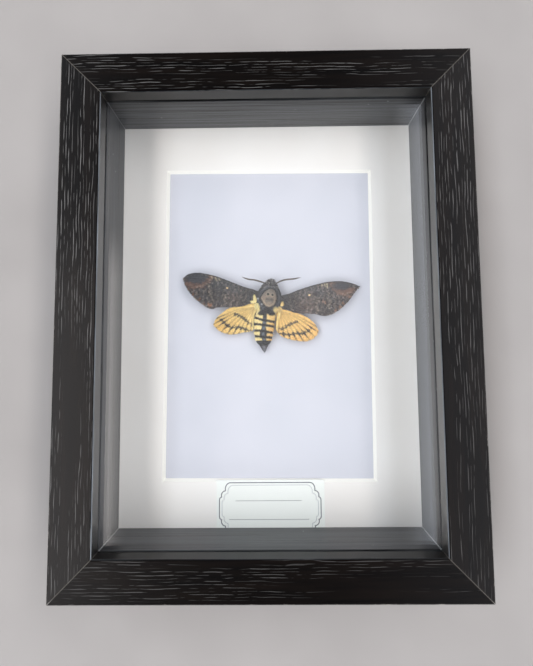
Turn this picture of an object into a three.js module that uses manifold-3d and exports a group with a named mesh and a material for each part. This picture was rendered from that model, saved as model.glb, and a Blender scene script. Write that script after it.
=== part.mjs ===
// A hawkmoth with spread wings, set on white card behind a mat in a deep glazed box frame.
// Millimetres. The frame lies on its back: +Z points out through the glass, +Y up the picture,
// and the origin is under the middle of the frame.
import * as THREE from 'three';
import { mergeVertices } from 'three/addons/utils/BufferGeometryUtils.js';
import Module from 'manifold-3d';

const wasm = await Module();
wasm.setup();

// Driving dimensions of the frame
const FRAME_WIDTH = 177;
const FRAME_HEIGHT = 229;
const FRAME_DEPTH = 45;
const FACE_WIDTH = 17.5;
const LIP_DEPTH = 7.8;
const REBATE = 4;
const ARRIS = 0.6;
const MITRE_GAP = 0.1;
const SHEET_PLAY = 0.5;
const LAYER_GAP = 0.1;

// Thicknesses of the layers, from the glass to the back
const GLASS_THICKNESS = 2;
const MAT_FACE_DEPTH = 37.5;
const MAT_THICKNESS = 1.4;
const CARD_THICKNESS = 1;
const BOARD_THICKNESS = 2.5;
const LABEL_THICKNESS = 0.25;
const TAB_THICKNESS = 0.4;

// The window in the mat, measured at its back edge. It was cut a little out of square.
const WINDOW = { width: 98.7, height: 148.6, x: 0.5, y: -0.65, turnDegrees: -0.4 };

// The label, whose lower edge runs on under the spacer
const LABEL = { width: 50.8, height: 25.4, x: 0.4, top: -75.3 };

// Retaining tabs on the back, and the hanger
const TAB = { width: 6, length: 14, shoulder: 1.5 };
const TAB_SPREAD = { long: 60, short: 45 };
const HANGER = { length: 44, width: 7.5, thickness: 0.8, teeth: 11, toothDepth: 1.2, y: 84, end: 8 };
const NAIL = { head: 1.6, height: 0.8, hole: 1.1, shank: 0.8 };

// Heights above the back of the frame
const glassFront = FRAME_DEPTH - LIP_DEPTH - LAYER_GAP;
const glassBack = glassFront - GLASS_THICKNESS;
const matFace = FRAME_DEPTH - MAT_FACE_DEPTH;
const matBack = matFace - MAT_THICKNESS;
const cardFace = matBack - LAYER_GAP;
const boardFace = cardFace - CARD_THICKNESS - LAYER_GAP;
const boardBack = boardFace - BOARD_THICKNESS;
const labelBack = matFace + LAYER_GAP / 2;
const spacerFoot = labelBack + LABEL_THICKNESS + LAYER_GAP;

// Half sizes of the rebate and of the sheets that lie in it
const rebateX = FRAME_WIDTH / 2 - FACE_WIDTH + REBATE;
const rebateY = FRAME_HEIGHT / 2 - FACE_WIDTH + REBATE;
const sheetWidth = 2 * (rebateX - SHEET_PLAY);
const sheetHeight = 2 * (rebateY - SHEET_PLAY);

// Finishes
const finish = {
  moulding: { color: 0x1e1c1a, roughness: 0.45 },
  glass: { color: 0xe4ebea, roughness: 0.03, transparent: true, opacity: 0.2 },
  spacer: { color: 0x35363a, roughness: 0.6 },
  mat: { color: 0xd5d7da, roughness: 0.95 },
  card: { color: 0xe2e3ee, roughness: 0.95 },
  board: { color: 0x6e4f35, roughness: 0.85 },
  label: { color: 0xe9e8e6, roughness: 0.9 },
  steel: { color: 0xa6a8aa, roughness: 0.35, metalness: 1 },
  body: { color: 0x7a6a4c, roughness: 0.95 },
  forewing: { color: 0x4a4340, roughness: 0.9 },
  hindwing: { color: 0xe8c878, roughness: 0.9 },
  antenna: { color: 0x4b433d, roughness: 0.8 },
};

const part = new THREE.Group();

function add(name, geometry, look) {
  const mesh = new THREE.Mesh(geometry, new THREE.MeshStandardMaterial(finish[look]));
  mesh.name = name;
  part.add(mesh);
  return mesh;
}

// A copy of the geometry with every vertex passed through a mapping of its place
function reshape(geometry, place) {
  const positions = geometry.attributes.position;
  const point = new THREE.Vector3();
  for (let i = 0; i < positions.count; i += 1) {
    point.fromBufferAttribute(positions, i);
    place(point);
    positions.setXYZ(i, point.x, point.y, point.z);
  }
  geometry.computeVertexNormals();
  return geometry;
}

function box(width, height, low, high, x = 0, y = 0) {
  const geometry = new THREE.BoxGeometry(width, height, high - low);
  geometry.translate(x, y, (low + high) / 2);
  return geometry;
}

// One length of moulding or spacer along a side of a rectangle, mitred at both ends.
// The section is drawn with x as the distance in from the frame's outer face and y as height.
const sides = {
  bottom: { turn: 0, length: FRAME_WIDTH, reach: FRAME_HEIGHT / 2 },
  right: { turn: 1, length: FRAME_HEIGHT, reach: FRAME_WIDTH / 2 },
  top: { turn: 2, length: FRAME_WIDTH, reach: FRAME_HEIGHT / 2 },
  left: { turn: 3, length: FRAME_HEIGHT, reach: FRAME_WIDTH / 2 },
};

function quarterTurns(point, turns) {
  for (let i = 0; i < turns; i += 1) {
    point.set(-point.y, point.x, point.z);
  }
}

function mitredLength(section, side) {
  const shape = new THREE.Shape(section.map(([inward, height]) => new THREE.Vector2(inward, height)));
  const geometry = new THREE.ExtrudeGeometry(shape, { depth: 1, bevelEnabled: false, steps: 1 });
  return reshape(geometry, (point) => {
    const inward = point.x;
    const height = point.y;
    const half = side.length / 2 - inward - MITRE_GAP;
    point.set(point.z > 0.5 ? half : -half, inward - side.reach, height);
    quarterTurns(point, side.turn);
  });
}

const mouldingSection = [
  [ARRIS, 0],
  [FACE_WIDTH - REBATE, 0],
  [FACE_WIDTH - REBATE, FRAME_DEPTH - LIP_DEPTH],
  [FACE_WIDTH, FRAME_DEPTH - LIP_DEPTH],
  [FACE_WIDTH, FRAME_DEPTH - ARRIS],
  [FACE_WIDTH - ARRIS, FRAME_DEPTH],
  [ARRIS, FRAME_DEPTH],
  [0, FRAME_DEPTH - ARRIS],
  [0, ARRIS],
];

const spacerSection = [
  [FACE_WIDTH - REBATE + LAYER_GAP, spacerFoot],
  [FACE_WIDTH, spacerFoot],
  [FACE_WIDTH, glassBack - LAYER_GAP],
  [FACE_WIDTH - REBATE + LAYER_GAP, glassBack - LAYER_GAP],
];

for (const [name, side] of Object.entries(sides)) {
  add(`moulding_${name}`, mitredLength(mouldingSection, side), 'moulding');
  add(`spacer_${name}`, mitredLength(spacerSection, side), 'spacer');
}

// Glass, backing card and back board: plain sheets in the rebate
add('glass', box(sheetWidth, sheetHeight, glassBack, glassFront), 'glass');
add('backing_card', box(sheetWidth, sheetHeight, cardFace - CARD_THICKNESS, cardFace), 'card');
add('back_board', box(sheetWidth, sheetHeight, boardBack, boardFace), 'board');

// Mat board, its window cut at 45 degrees so that it widens towards the glass
function rectangle(width, height) {
  const right = width / 2;
  const high = height / 2;
  return [
    new THREE.Vector2(-right, -high),
    new THREE.Vector2(right, -high),
    new THREE.Vector2(right, high),
    new THREE.Vector2(-right, high),
  ];
}

function matBoard() {
  const shape = new THREE.Shape(rectangle(sheetWidth, sheetHeight));
  shape.holes.push(new THREE.Path(rectangle(WINDOW.width, WINDOW.height).reverse()));
  const geometry = new THREE.ExtrudeGeometry(shape, { depth: MAT_THICKNESS, bevelEnabled: false });
  const windowCentre = new THREE.Vector3(WINDOW.x, WINDOW.y, 0);
  const turn = THREE.MathUtils.degToRad(WINDOW.turnDegrees);
  const upright = new THREE.Vector3(0, 0, 1);
  return reshape(geometry, (point) => {
    const inWindow = Math.abs(point.x) < WINDOW.width / 2 + 1;
    if (inWindow) {
      const spread = point.z > MAT_THICKNESS / 2 ? MAT_THICKNESS : 0;
      point.x += Math.sign(point.x) * spread;
      point.y += Math.sign(point.y) * spread;
      point.applyAxisAngle(upright, turn).add(windowCentre);
    }
    point.z += matBack;
  });
}

add('mat_board', matBoard(), 'mat');

// Paper label on the mat
const labelY = LABEL.top - LABEL.height / 2;
const labelFace = labelBack + LABEL_THICKNESS;
add('label', box(LABEL.width, LABEL.height, labelBack, labelFace, LABEL.x, labelY), 'label');

// Flat steel tabs, driven into the moulding and lying on the back board
function retainingTab(side, along) {
  const halfWidth = TAB.width / 2;
  const shape = new THREE.Shape();
  shape.moveTo(-halfWidth, 0);
  shape.lineTo(halfWidth, 0);
  shape.lineTo(halfWidth, TAB.length - TAB.shoulder);
  shape.lineTo(halfWidth - TAB.shoulder, TAB.length);
  shape.lineTo(TAB.shoulder - halfWidth, TAB.length);
  shape.lineTo(-halfWidth, TAB.length - TAB.shoulder);
  const geometry = new THREE.ExtrudeGeometry(shape, { depth: TAB_THICKNESS, bevelEnabled: false });
  const wall = side.reach - FACE_WIDTH + REBATE - LAYER_GAP;
  return reshape(geometry, (point) => {
    point.set(point.x + along, point.y - wall, point.z + boardBack - LAYER_GAP - TAB_THICKNESS);
    quarterTurns(point, side.turn);
  });
}

Object.values(sides).forEach((side, index) => {
  const spread = side.length === FRAME_HEIGHT ? TAB_SPREAD.long : TAB_SPREAD.short;
  add(`retaining_tab_${2 * index + 1}`, retainingTab(side, -spread), 'steel');
  add(`retaining_tab_${2 * index + 2}`, retainingTab(side, spread), 'steel');
});

// Sawtooth hanger, a toothed strip held to the back board by two round-headed nails
const nailX = HANGER.length / 2 - HANGER.end / 2;

function sawtoothHanger() {
  const half = HANGER.length / 2;
  const edge = half - HANGER.end;
  const pitch = (2 * edge) / HANGER.teeth;
  const shape = new THREE.Shape();
  shape.moveTo(-half, 0);
  for (let tooth = 0; tooth < HANGER.teeth; tooth += 1) {
    shape.lineTo(-edge + tooth * pitch, 0);
    shape.lineTo(-edge + (tooth + 0.5) * pitch, HANGER.toothDepth);
  }
  shape.lineTo(edge, 0);
  shape.lineTo(half, 0);
  shape.lineTo(half, HANGER.width);
  shape.lineTo(-half, HANGER.width);
  for (const x of [-nailX, nailX]) {
    const hole = new THREE.Path();
    hole.absarc(x, HANGER.width / 2, NAIL.hole, 0, 2 * Math.PI, true);
    shape.holes.push(hole);
  }
  const geometry = new THREE.ExtrudeGeometry(shape, {
    depth: HANGER.thickness,
    bevelEnabled: false,
    curveSegments: 6,
  });
  return reshape(geometry, (point) => {
    point.y += HANGER.y;
    point.z += boardBack - LAYER_GAP - HANGER.thickness;
  });
}

// The nail's shank passes the hanger's hole, and its low domed head lies on the strip
function hangerNail(x) {
  const headBase = boardBack - 2 * LAYER_GAP - HANGER.thickness;
  const profile = [
    new THREE.Vector2(0, headBase - NAIL.height),
    new THREE.Vector2(NAIL.head * 0.6, headBase - NAIL.height * 0.75),
    new THREE.Vector2(NAIL.head, headBase),
    new THREE.Vector2(NAIL.shank, headBase),
    new THREE.Vector2(NAIL.shank, boardBack - LAYER_GAP),
    new THREE.Vector2(0, boardBack - LAYER_GAP),
  ];
  const geometry = new THREE.LatheGeometry(profile, 16);
  geometry.rotateX(Math.PI / 2);
  geometry.translate(x, HANGER.y + HANGER.width / 2, 0);
  return geometry;
}

add('sawtooth_hanger', sawtoothHanger(), 'steel');
add('hanger_nail_left', hangerNail(-nailX), 'steel');
add('hanger_nail_right', hangerNail(nailX), 'steel');

// The moth. Its body lies along +Y, leaning a little to the right at the head.
// Each station gives the body's place along Y, the middle of its width, its half width,
// and the height of its middle above the card.
const CARD_CLEARANCE = 0.1;
const BODY_FLATNESS = 0.84;
const BODY_SIDES = 20;
const bodyStations = [
  { y: -15.9, x: -1.8, half: 0, height: 2.6 },
  { y: -13.8, x: -1.9, half: 1.1, height: 2.8 },
  { y: -11.4, x: -2.1, half: 2.4, height: 3.1 },
  { y: -9.9, x: -2.2, half: 3.6, height: 3.4 },
  { y: -6.6, x: -2.1, half: 4.4, height: 3.8 },
  { y: -3.2, x: -1.9, half: 4.7, height: 4.0 },
  { y: 1, x: -1.5, half: 4.8, height: 4.1 },
  { y: 3.8, x: -0.8, half: 4.4, height: 4.3 },
  { y: 6.3, x: 0.3, half: 5.1, height: 4.5 },
  { y: 10.5, x: 0.6, half: 5.4, height: 4.7 },
  { y: 14, x: 0.7, half: 5.2, height: 4.6 },
  { y: 16, x: 0.9, half: 4.2, height: 4.5 },
  { y: 17, x: 1.2, half: 2.9, height: 4.5 },
  { y: 18.4, x: 1.5, half: 2.5, height: 4.4 },
  { y: 19.4, x: 1.7, half: 1.2, height: 4.2 },
  { y: 19.7, x: 1.8, half: 0, height: 4.1 },
];

// The value of one quantity at a place along Y, read off the stations
function bodyAt(quantity, y) {
  const next = Math.max(1, bodyStations.findIndex((station) => station.y >= y - 1e-6));
  const from = bodyStations[next - 1];
  const to = bodyStations[next];
  return from[quantity] + ((to[quantity] - from[quantity]) * (y - from.y)) / (to.y - from.y);
}

// The abdomen's six rings swell a little between their seams
const RINGS = { first: -9.9, last: 3.8, count: 6, swell: 0.16 };

function bodyProfile() {
  const ringLength = (RINGS.last - RINGS.first) / RINGS.count;
  const seams = Array.from({ length: RINGS.count + 1 }, (_, i) => RINGS.first + i * ringLength);
  const middles = seams.slice(0, -1).map((seam) => seam + ringLength / 2);
  const plain = bodyStations.map(({ y }) => y).filter((y) => y < RINGS.first || y > RINGS.last);
  const places = [...plain, ...seams, ...middles].sort((a, b) => a - b);
  return places.map((y) => {
    const swell = middles.includes(y) ? RINGS.swell : 0;
    return new THREE.Vector2(bodyAt('half', y) + swell, y);
  });
}

const belly = cardFace + CARD_CLEARANCE;

function bodyTrunk() {
  return reshape(new THREE.LatheGeometry(bodyProfile(), BODY_SIDES), (point) => {
    point.x += bodyAt('x', point.y);
    point.z = belly + bodyAt('height', point.y) + point.z * BODY_FLATNESS;
  });
}

function lobe(x, y, height, width, length, thick) {
  const geometry = new THREE.SphereGeometry(0.5, 12, 8);
  geometry.scale(width, length, thick);
  geometry.translate(x, y, belly + height);
  return geometry;
}

// A tapering round limb along a smooth path, used for legs and antennae
function limb(points, rootRadius, tipRadius, sidesRound = 6, steps = 10) {
  const path = new THREE.CatmullRomCurve3(
    points.map(([x, y, height]) => new THREE.Vector3(x, y, belly + height)),
  );
  const frames = path.computeFrenetFrames(steps);
  const geometry = new THREE.CylinderGeometry(1, 1, 1, sidesRound, steps);
  return reshape(geometry, (point) => {
    const along = point.y + 0.5;
    const step = Math.round(along * steps);
    const radius = rootRadius + (tipRadius - rootRadius) * along;
    const { x, z } = point;
    point.copy(path.getPointAt(along));
    point.addScaledVector(frames.normals[step], z * radius);
    point.addScaledVector(frames.binormals[step], x * radius);
  });
}

// Three pairs of legs, folded out over the card under the wings
const legPairs = [
  { y: 12, reach: 7.5, sweep: -1.5 },
  { y: 9.5, reach: 8.5, sweep: -3 },
  { y: 7, reach: 8, sweep: -5.5 },
];

function leg({ y, reach, sweep }, side) {
  const middle = bodyAt('x', y);
  return limb(
    [
      [middle + side * 2.2, y, 1.6],
      [middle + side * reach * 0.6, y + sweep * 0.3, 2.2],
      [middle + side * reach, y + sweep, 0.5],
    ],
    0.5,
    0.25,
  );
}

// Joining the body's pieces, which grew as one, into a single closed solid
function solidOf(geometry) {
  geometry.deleteAttribute('normal');
  geometry.deleteAttribute('uv');
  const merged = mergeVertices(geometry, 1e-4);
  const solid = new wasm.Mesh({
    numProp: 3,
    vertProperties: new Float32Array(merged.attributes.position.array),
    triVerts: new Uint32Array(merged.index.array),
  });
  return new wasm.Manifold(solid);
}

function joined(geometries) {
  const whole = geometries.map(solidOf).reduce((sum, solid) => sum.add(solid));
  const result = whole.getMesh();
  const geometry = new THREE.BufferGeometry();
  geometry.setAttribute('position', new THREE.BufferAttribute(result.vertProperties, 3));
  geometry.setIndex(new THREE.BufferAttribute(result.triVerts, 1));
  return geometry;
}

const eyes = [-1.1, 3.8].map((x) => lobe(x, 17.6, 4.3, 2.4, 2.6, 2.6));
const palps = [0.8, 2.4].map((x) => lobe(x, 19, 3.9, 1.5, 2.4, 2));
const legs = legPairs.flatMap((pair) => [leg(pair, -1), leg(pair, 1)]);
add('moth_body', joined([bodyTrunk(), ...eyes, ...palps, ...legs]), 'body');

// A wing is a thin sheet between its front edge and its rear edge, both drawn from root to tip
const WING = { thickness: 0.3, spanSteps: 26, chordSteps: 8 };

function wing(front, rear, heightAt, isLeft) {
  const frontEdge = new THREE.SplineCurve(front.map(([x, y]) => new THREE.Vector2(x, y)));
  const rearEdge = new THREE.SplineCurve(rear.map(([x, y]) => new THREE.Vector2(x, y)));
  const geometry = new THREE.BoxGeometry(1, 1, WING.thickness, WING.spanSteps, WING.chordSteps, 1);
  return reshape(geometry, (point) => {
    const span = THREE.MathUtils.clamp(point.x + 0.5, 0, 1);
    const chord = THREE.MathUtils.clamp(isLeft ? point.y + 0.5 : 0.5 - point.y, 0, 1);
    const place = frontEdge.getPointAt(span).lerp(rearEdge.getPointAt(span), chord);
    point.set(place.x, place.y, belly + heightAt(span, chord) + point.z);
  });
}

// Forewings rise a little towards the tip and fall towards the rear edge
function forewingHeight(span, chord) {
  return 5.3 + 0.7 * span - 0.5 * chord * (1 - 0.5 * span);
}

// Hindwings lie under the forewings and droop towards their rear edge
function hindwingHeight(span, chord) {
  return 4.25 - 0.5 * chord;
}

const forewingLeft = {
  front: [
    [-5.4, 14.4], [-9.5, 15.4], [-14, 17], [-23, 20.6], [-28, 22.1], [-33.5, 23], [-38, 22.4], [-40.4, 20.6],
  ],
  rear: [
    [-5.3, 8.4], [-8, 8.4], [-11.5, 7.2], [-15, 6.6], [-23.2, 6.5], [-26.5, 5.7], [-28.6, 6.1],
    [-31.5, 8.1], [-34.6, 10.5], [-37.6, 13.9], [-39.4, 16.9], [-40.5, 20],
  ],
};
const forewingRight = {
  front: [
    [6.6, 11.8], [10, 12.4], [13.8, 13.9], [18.4, 15.4], [23.3, 16.8], [28.2, 17.8], [33.2, 18.2],
    [36.6, 18], [40.8, 17], [43.8, 15.7],
  ],
  rear: [
    [6.6, 7.4], [8.4, 5.9], [10.6, 4.5], [13.6, 3.5], [19.5, 3.1], [23.4, 2.6], [26.6, 1.8], [30.4, 2.7],
    [33.5, 4.5], [36.5, 6.9], [39, 9.6], [41, 12.4], [43.6, 15.2],
  ],
};
const hindwingLeft = {
  front: [
    [-5.9, 8], [-9, 7.9], [-12, 6.9], [-17.8, 6.2], [-21, 4.4], [-23.8, 2.2], [-25.3, 0.3], [-26, -1.4],
  ],
  rear: [
    [-5.8, 4.6], [-6.9, 0], [-7.1, -4], [-9, -5.1], [-12.1, -5.6], [-14.9, -6.1], [-17.4, -6.4],
    [-19.8, -6.1], [-23, -5], [-25.3, -3], [-25.9, -2],
  ],
};
const hindwingRight = {
  front: [[5.4, 5], [11.5, 4.1], [15.5, 2.7], [19.5, 0.6], [22.4, -2], [23.9, -4.9]],
  rear: [
    [5.2, 3.6], [4.1, -0.5], [4, -4.5], [6, -7.2], [9.4, -8.7], [13.4, -9.6], [17.4, -10],
    [20.7, -9.2], [23, -7.4], [23.9, -5.6],
  ],
};

add('forewing_left', wing(forewingLeft.front, forewingLeft.rear, forewingHeight, true), 'forewing');
add('forewing_right', wing(forewingRight.front, forewingRight.rear, forewingHeight, false), 'forewing');
add('hindwing_left', wing(hindwingLeft.front, hindwingLeft.rear, hindwingHeight, true), 'hindwing');
add('hindwing_right', wing(hindwingRight.front, hindwingRight.rear, hindwingHeight, false), 'hindwing');

// Antennae, swept out and a little forwards from between the eyes
const ANTENNA = { root: 0.36, tip: 0.22 };
const antennaLeft = [
  [-2.3, 18.2, 5.2], [-6.2, 19.3, 5.6], [-8.8, 19.6, 5.8], [-10.9, 20.2, 5.9], [-12.4, 20.9, 5.8],
];
const antennaRight = [
  [4.9, 18, 5.2], [6.1, 18.6, 5.4], [8.7, 19.3, 5.6], [12.4, 19.6, 5.8], [16, 20.3, 5.7],
];
add('antenna_left', limb(antennaLeft, ANTENNA.root, ANTENNA.tip, 8, 14), 'antenna');
add('antenna_right', limb(antennaRight, ANTENNA.root, ANTENNA.tip, 8, 14), 'antenna');

export default part;
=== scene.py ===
"""A hawkmoth with spread wings, set behind a mat in a deep black glazed box frame.

Lengths in the sections are in millimetres and become metres where a mesh is made.
"""

import math

import bmesh
import bpy
import numpy as np
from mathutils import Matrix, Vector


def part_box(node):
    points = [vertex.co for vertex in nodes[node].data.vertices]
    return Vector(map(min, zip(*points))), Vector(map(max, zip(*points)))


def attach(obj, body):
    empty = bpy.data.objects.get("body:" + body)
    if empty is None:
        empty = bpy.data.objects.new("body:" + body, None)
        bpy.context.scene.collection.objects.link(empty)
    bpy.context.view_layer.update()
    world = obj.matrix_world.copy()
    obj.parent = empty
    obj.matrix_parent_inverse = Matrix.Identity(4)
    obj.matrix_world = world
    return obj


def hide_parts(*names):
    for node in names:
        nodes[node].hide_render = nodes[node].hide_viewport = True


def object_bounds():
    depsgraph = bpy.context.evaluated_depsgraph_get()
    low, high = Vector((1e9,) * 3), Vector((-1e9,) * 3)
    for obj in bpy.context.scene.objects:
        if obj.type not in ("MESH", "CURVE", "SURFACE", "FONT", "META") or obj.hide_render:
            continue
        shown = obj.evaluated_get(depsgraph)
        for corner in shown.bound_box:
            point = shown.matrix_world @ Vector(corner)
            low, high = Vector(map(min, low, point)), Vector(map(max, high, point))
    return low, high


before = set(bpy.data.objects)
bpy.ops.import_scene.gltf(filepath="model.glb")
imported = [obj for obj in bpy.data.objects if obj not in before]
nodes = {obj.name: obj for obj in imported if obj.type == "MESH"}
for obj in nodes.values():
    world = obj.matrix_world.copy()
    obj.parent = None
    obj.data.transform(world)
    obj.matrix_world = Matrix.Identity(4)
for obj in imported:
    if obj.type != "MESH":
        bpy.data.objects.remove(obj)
cad_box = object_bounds()
scene = bpy.context.scene

# Camera
# The picture was taken with a phone held a hand's length above the glass, tipped a little
# towards the lower edge. Its optical axis lies above the middle of the cropped picture.
PICTURE_HEIGHT_PX = 666
FOCAL_PX = 513.8
AXIS_ROW_PX = 306.8
camera_place = (2.4, -15.5, 256.3)
camera_turn_degrees = (5.09, 0.755, -0.486)

camera_data = bpy.data.cameras.new("camera")
camera_data.lens = camera_data.sensor_width * FOCAL_PX / PICTURE_HEIGHT_PX
camera_data.shift_y = (AXIS_ROW_PX - PICTURE_HEIGHT_PX / 2) / PICTURE_HEIGHT_PX
camera_data.clip_start = 0.01
camera = bpy.data.objects.new("camera", camera_data)
camera.location = [length / 1000 for length in camera_place]
camera.rotation_euler = [math.radians(turn) for turn in camera_turn_degrees]
scene.collection.objects.link(camera)
scene.camera = camera


# Moulding
# Four mitred lengths of deep wooden moulding, wrapped in black foil printed with a limed
# open ash grain. The foil is cut through at the mitres and pale in patches along the top of
# the outer edge. A highlight is painted along the lip's upper edge, and the grain is painted
# strongest near the upper left corner, as light falls there.


def linear(hex_colour):
    """An sRGB hex colour as linear red, green, blue and alpha."""
    parts = [int(hex_colour[i:i + 2], 16) / 255 for i in (1, 3, 5)]
    return [p / 12.92 if p <= 0.04045 else ((p + 0.055) / 1.055) ** 2.4 for p in parts] + [1]


def put(tree, kind, *inputs, out=None, stops=None, **settings):
    """Adds a node with its inputs, in order or by name, and its settings, and gives its output."""
    made = tree.nodes.new(kind)
    for name, value in settings.items():
        setattr(made, name, value)
    wanted = {}
    for place, value in enumerate(inputs):
        wanted.update(value if isinstance(value, dict) else {place: value})
    for name, value in wanted.items():
        if isinstance(value, bpy.types.NodeSocket):
            tree.links.new(value, made.inputs[name])
        elif isinstance(value, str) and value.startswith("#"):
            made.inputs[name].default_value = linear(value)
        else:
            made.inputs[name].default_value = value
    if stops:
        elements = made.color_ramp.elements
        while len(elements) < len(stops):
            elements.new(1)
        for element, (place, value) in zip(elements, stops):
            element.position = place
            element.color = linear(value) if isinstance(value, str) else (value, value, value, 1)
    usable = [socket for socket in made.outputs if socket.enabled]
    return made.outputs[out] if out else usable[0]


def surface(name, **values):
    """A new material, its node tree and its Principled shader with the values set."""
    material = bpy.data.materials.new(name)
    material.use_nodes = True
    shader = material.node_tree.nodes["Principled BSDF"]
    for key, value in values.items():
        socket = shader.inputs[key.replace("_", " ").title().replace("Ior", "IOR")]
        socket.default_value = linear(value) if isinstance(value, str) else value
    return material, material.node_tree, shader


def millimetres(tree, stretch=(1, 1, 1), turn=0):
    """Object coordinates in millimetres, turned about Z and then stretched."""
    turned = put(tree, "ShaderNodeMapping", {
        "Vector": put(tree, "ShaderNodeTexCoord", out="Object"), "Rotation": (0, 0, turn),
        "Scale": (1000, 1000, 1000),
    })
    return put(tree, "ShaderNodeVectorMath", turned, stretch, operation="MULTIPLY")


def noise(tree, stretch=(1, 1, 1), turn=0, **values):
    """A noise field over the object, its features about one stretched millimetre wide."""
    inputs = {"Vector": millimetres(tree, stretch, turn), "Scale": 1.0, "Detail": 2.0}
    inputs.update({name.title(): value for name, value in values.items()})
    return put(tree, "ShaderNodeTexNoise", inputs)


def feed(tree, shader, colour=None, roughness=None, height=None, relief=0.00002, strength=1.0):
    """Links colour, roughness and a bump of the given relief in metres to the shader."""
    if colour:
        tree.links.new(colour, shader.inputs["Base Color"])
    if roughness:
        tree.links.new(roughness, shader.inputs["Roughness"])
    if height:
        bump = put(tree, "ShaderNodeBump", {
            "Height": height, "Distance": relief, "Strength": strength,
        })
        tree.links.new(bump, shader.inputs["Normal"])


def shading_diagonal(tree, upper_left, lower_right):
    """A value that changes from the frame's upper left corner to its lower right one, for painted light and
    shade.
    """
    place = put(tree, "ShaderNodeTexCoord", out="Object")
    diagonal = put(tree, "ShaderNodeVectorMath", place, (1, -1, 0), out="Value", operation="DOT_PRODUCT")
    limits = (DIAGONAL_START, DIAGONAL_END, upper_left, lower_right)
    return put(tree, "ShaderNodeMapRange", diagonal, *limits)


def dress(names, material):
    """Gives CAD nodes a finish in place of the plain one they came with."""
    for name in names:
        nodes[name].data.materials.clear()
        nodes[name].data.materials.append(material)


BLACK_FOIL = "#050404"
BROWN_BLACK = "#0E0A08"
# The upright lengths' pores are painted paler than those across, as light falling on those sides
PORE_ACROSS = "#545453"
PORE_UPRIGHT = "#686867"
BARE_EDGE = "#8B877F"
PALE_RIM = "#A09D97"
# Grey of the highlight painted along the lip's upper edge
LIP_HIGHLIGHT_GREY = "#8F979E"
PORE_LENGTH = 11.0
PORE_GAP = 0.7
RINGS_PER_MM = 5.0
RING_WAVER = 13.0
MITRE_HAIRLINE = 0.13
PALE_RIM_WIDTH = 0.45
SIDE_SKIN = 0.3
FACE_WIDTH = 17.5
LIP_HIGHLIGHT_WIDTH = 0.28
TOP_EDGE_DEPTH = 0.7
DIAGONAL_START = -0.16
DIAGONAL_END = 0.14


def grain_lines(tree, turn):
    """Short fine pores along X once turned, in rows that follow the wandering growth rings."""
    across = put(tree, "ShaderNodeSeparateXYZ", millimetres(tree, (1, 1, 1), turn), out="Y")
    waver = noise(tree, (1 / 24, 1 / 6, 1 / 6), turn, detail=2.0)
    swung = put(tree, "ShaderNodeMath", waver, RING_WAVER, operation="MULTIPLY")
    spaced = put(tree, "ShaderNodeMath", across, RINGS_PER_MM, operation="MULTIPLY")
    rings = put(tree, "ShaderNodeMath", swung, spaced, operation="ADD")
    crest = put(tree, "ShaderNodeMath", rings, operation="SINE")
    row = put(tree, "ShaderNodeValToRGB", crest, stops=[(0.6, 0.0), (0.85, 1.0)])
    thin_row = put(tree, "ShaderNodeValToRGB", crest, stops=[(0.9, 0.0), (0.97, 1.0)])
    pits = put(tree, "ShaderNodeTexVoronoi", {
        "Vector": millimetres(tree, (1 / PORE_LENGTH, 1 / PORE_GAP, 1 / PORE_GAP), turn), "Scale": 1.0,
    }, out="Distance")
    pores = put(tree, "ShaderNodeValToRGB", pits, stops=[(0.38, 1.0), (0.46, 0.0)])
    gaps = noise(tree, (1 / 7, 1.4, 1.4), turn)
    broken = put(tree, "ShaderNodeValToRGB", gaps, stops=[(0.5, 0.0), (0.55, 0.8)])
    patches = noise(tree, (1 / 110, 0.2, 0.2), turn, detail=1.0)
    cluster = put(tree, "ShaderNodeValToRGB", patches, stops=[(0.41, 0.0), (0.51, 1.0)])
    dashes = put(tree, "ShaderNodeMath", row, pores, operation="MULTIPLY")
    threads = put(tree, "ShaderNodeMath", thin_row, broken, operation="MULTIPLY")
    drawn = put(tree, "ShaderNodeMath", dashes, threads, operation="MAXIMUM")
    return put(tree, "ShaderNodeMath", drawn, cluster, operation="MULTIPLY")


def limed_ground(tree, turn, pore_colour, outside):
    """The black foil's colour with its limed grain, and how strongly the grain shows."""
    lines = grain_lines(tree, turn)
    # The limed grain is painted strongest near the upper left corner, as light falling there
    faded = put(tree, "ShaderNodeMath", lines, shading_diagonal(tree, 1.0, 0.44), operation="MULTIPLY")
    limed = put(tree, "ShaderNodeMath", faded, outside, operation="MULTIPLY")
    streaks = noise(tree, (1 / 40, 0.3, 0.3), turn)
    ground = put(tree, "ShaderNodeValToRGB", streaks, stops=[(0.35, BLACK_FOIL), (0.7, BROWN_BLACK)])
    return put(tree, "ShaderNodeMix", {0: limed, 6: ground, 7: pore_colour}, data_type="RGBA"), limed


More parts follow.
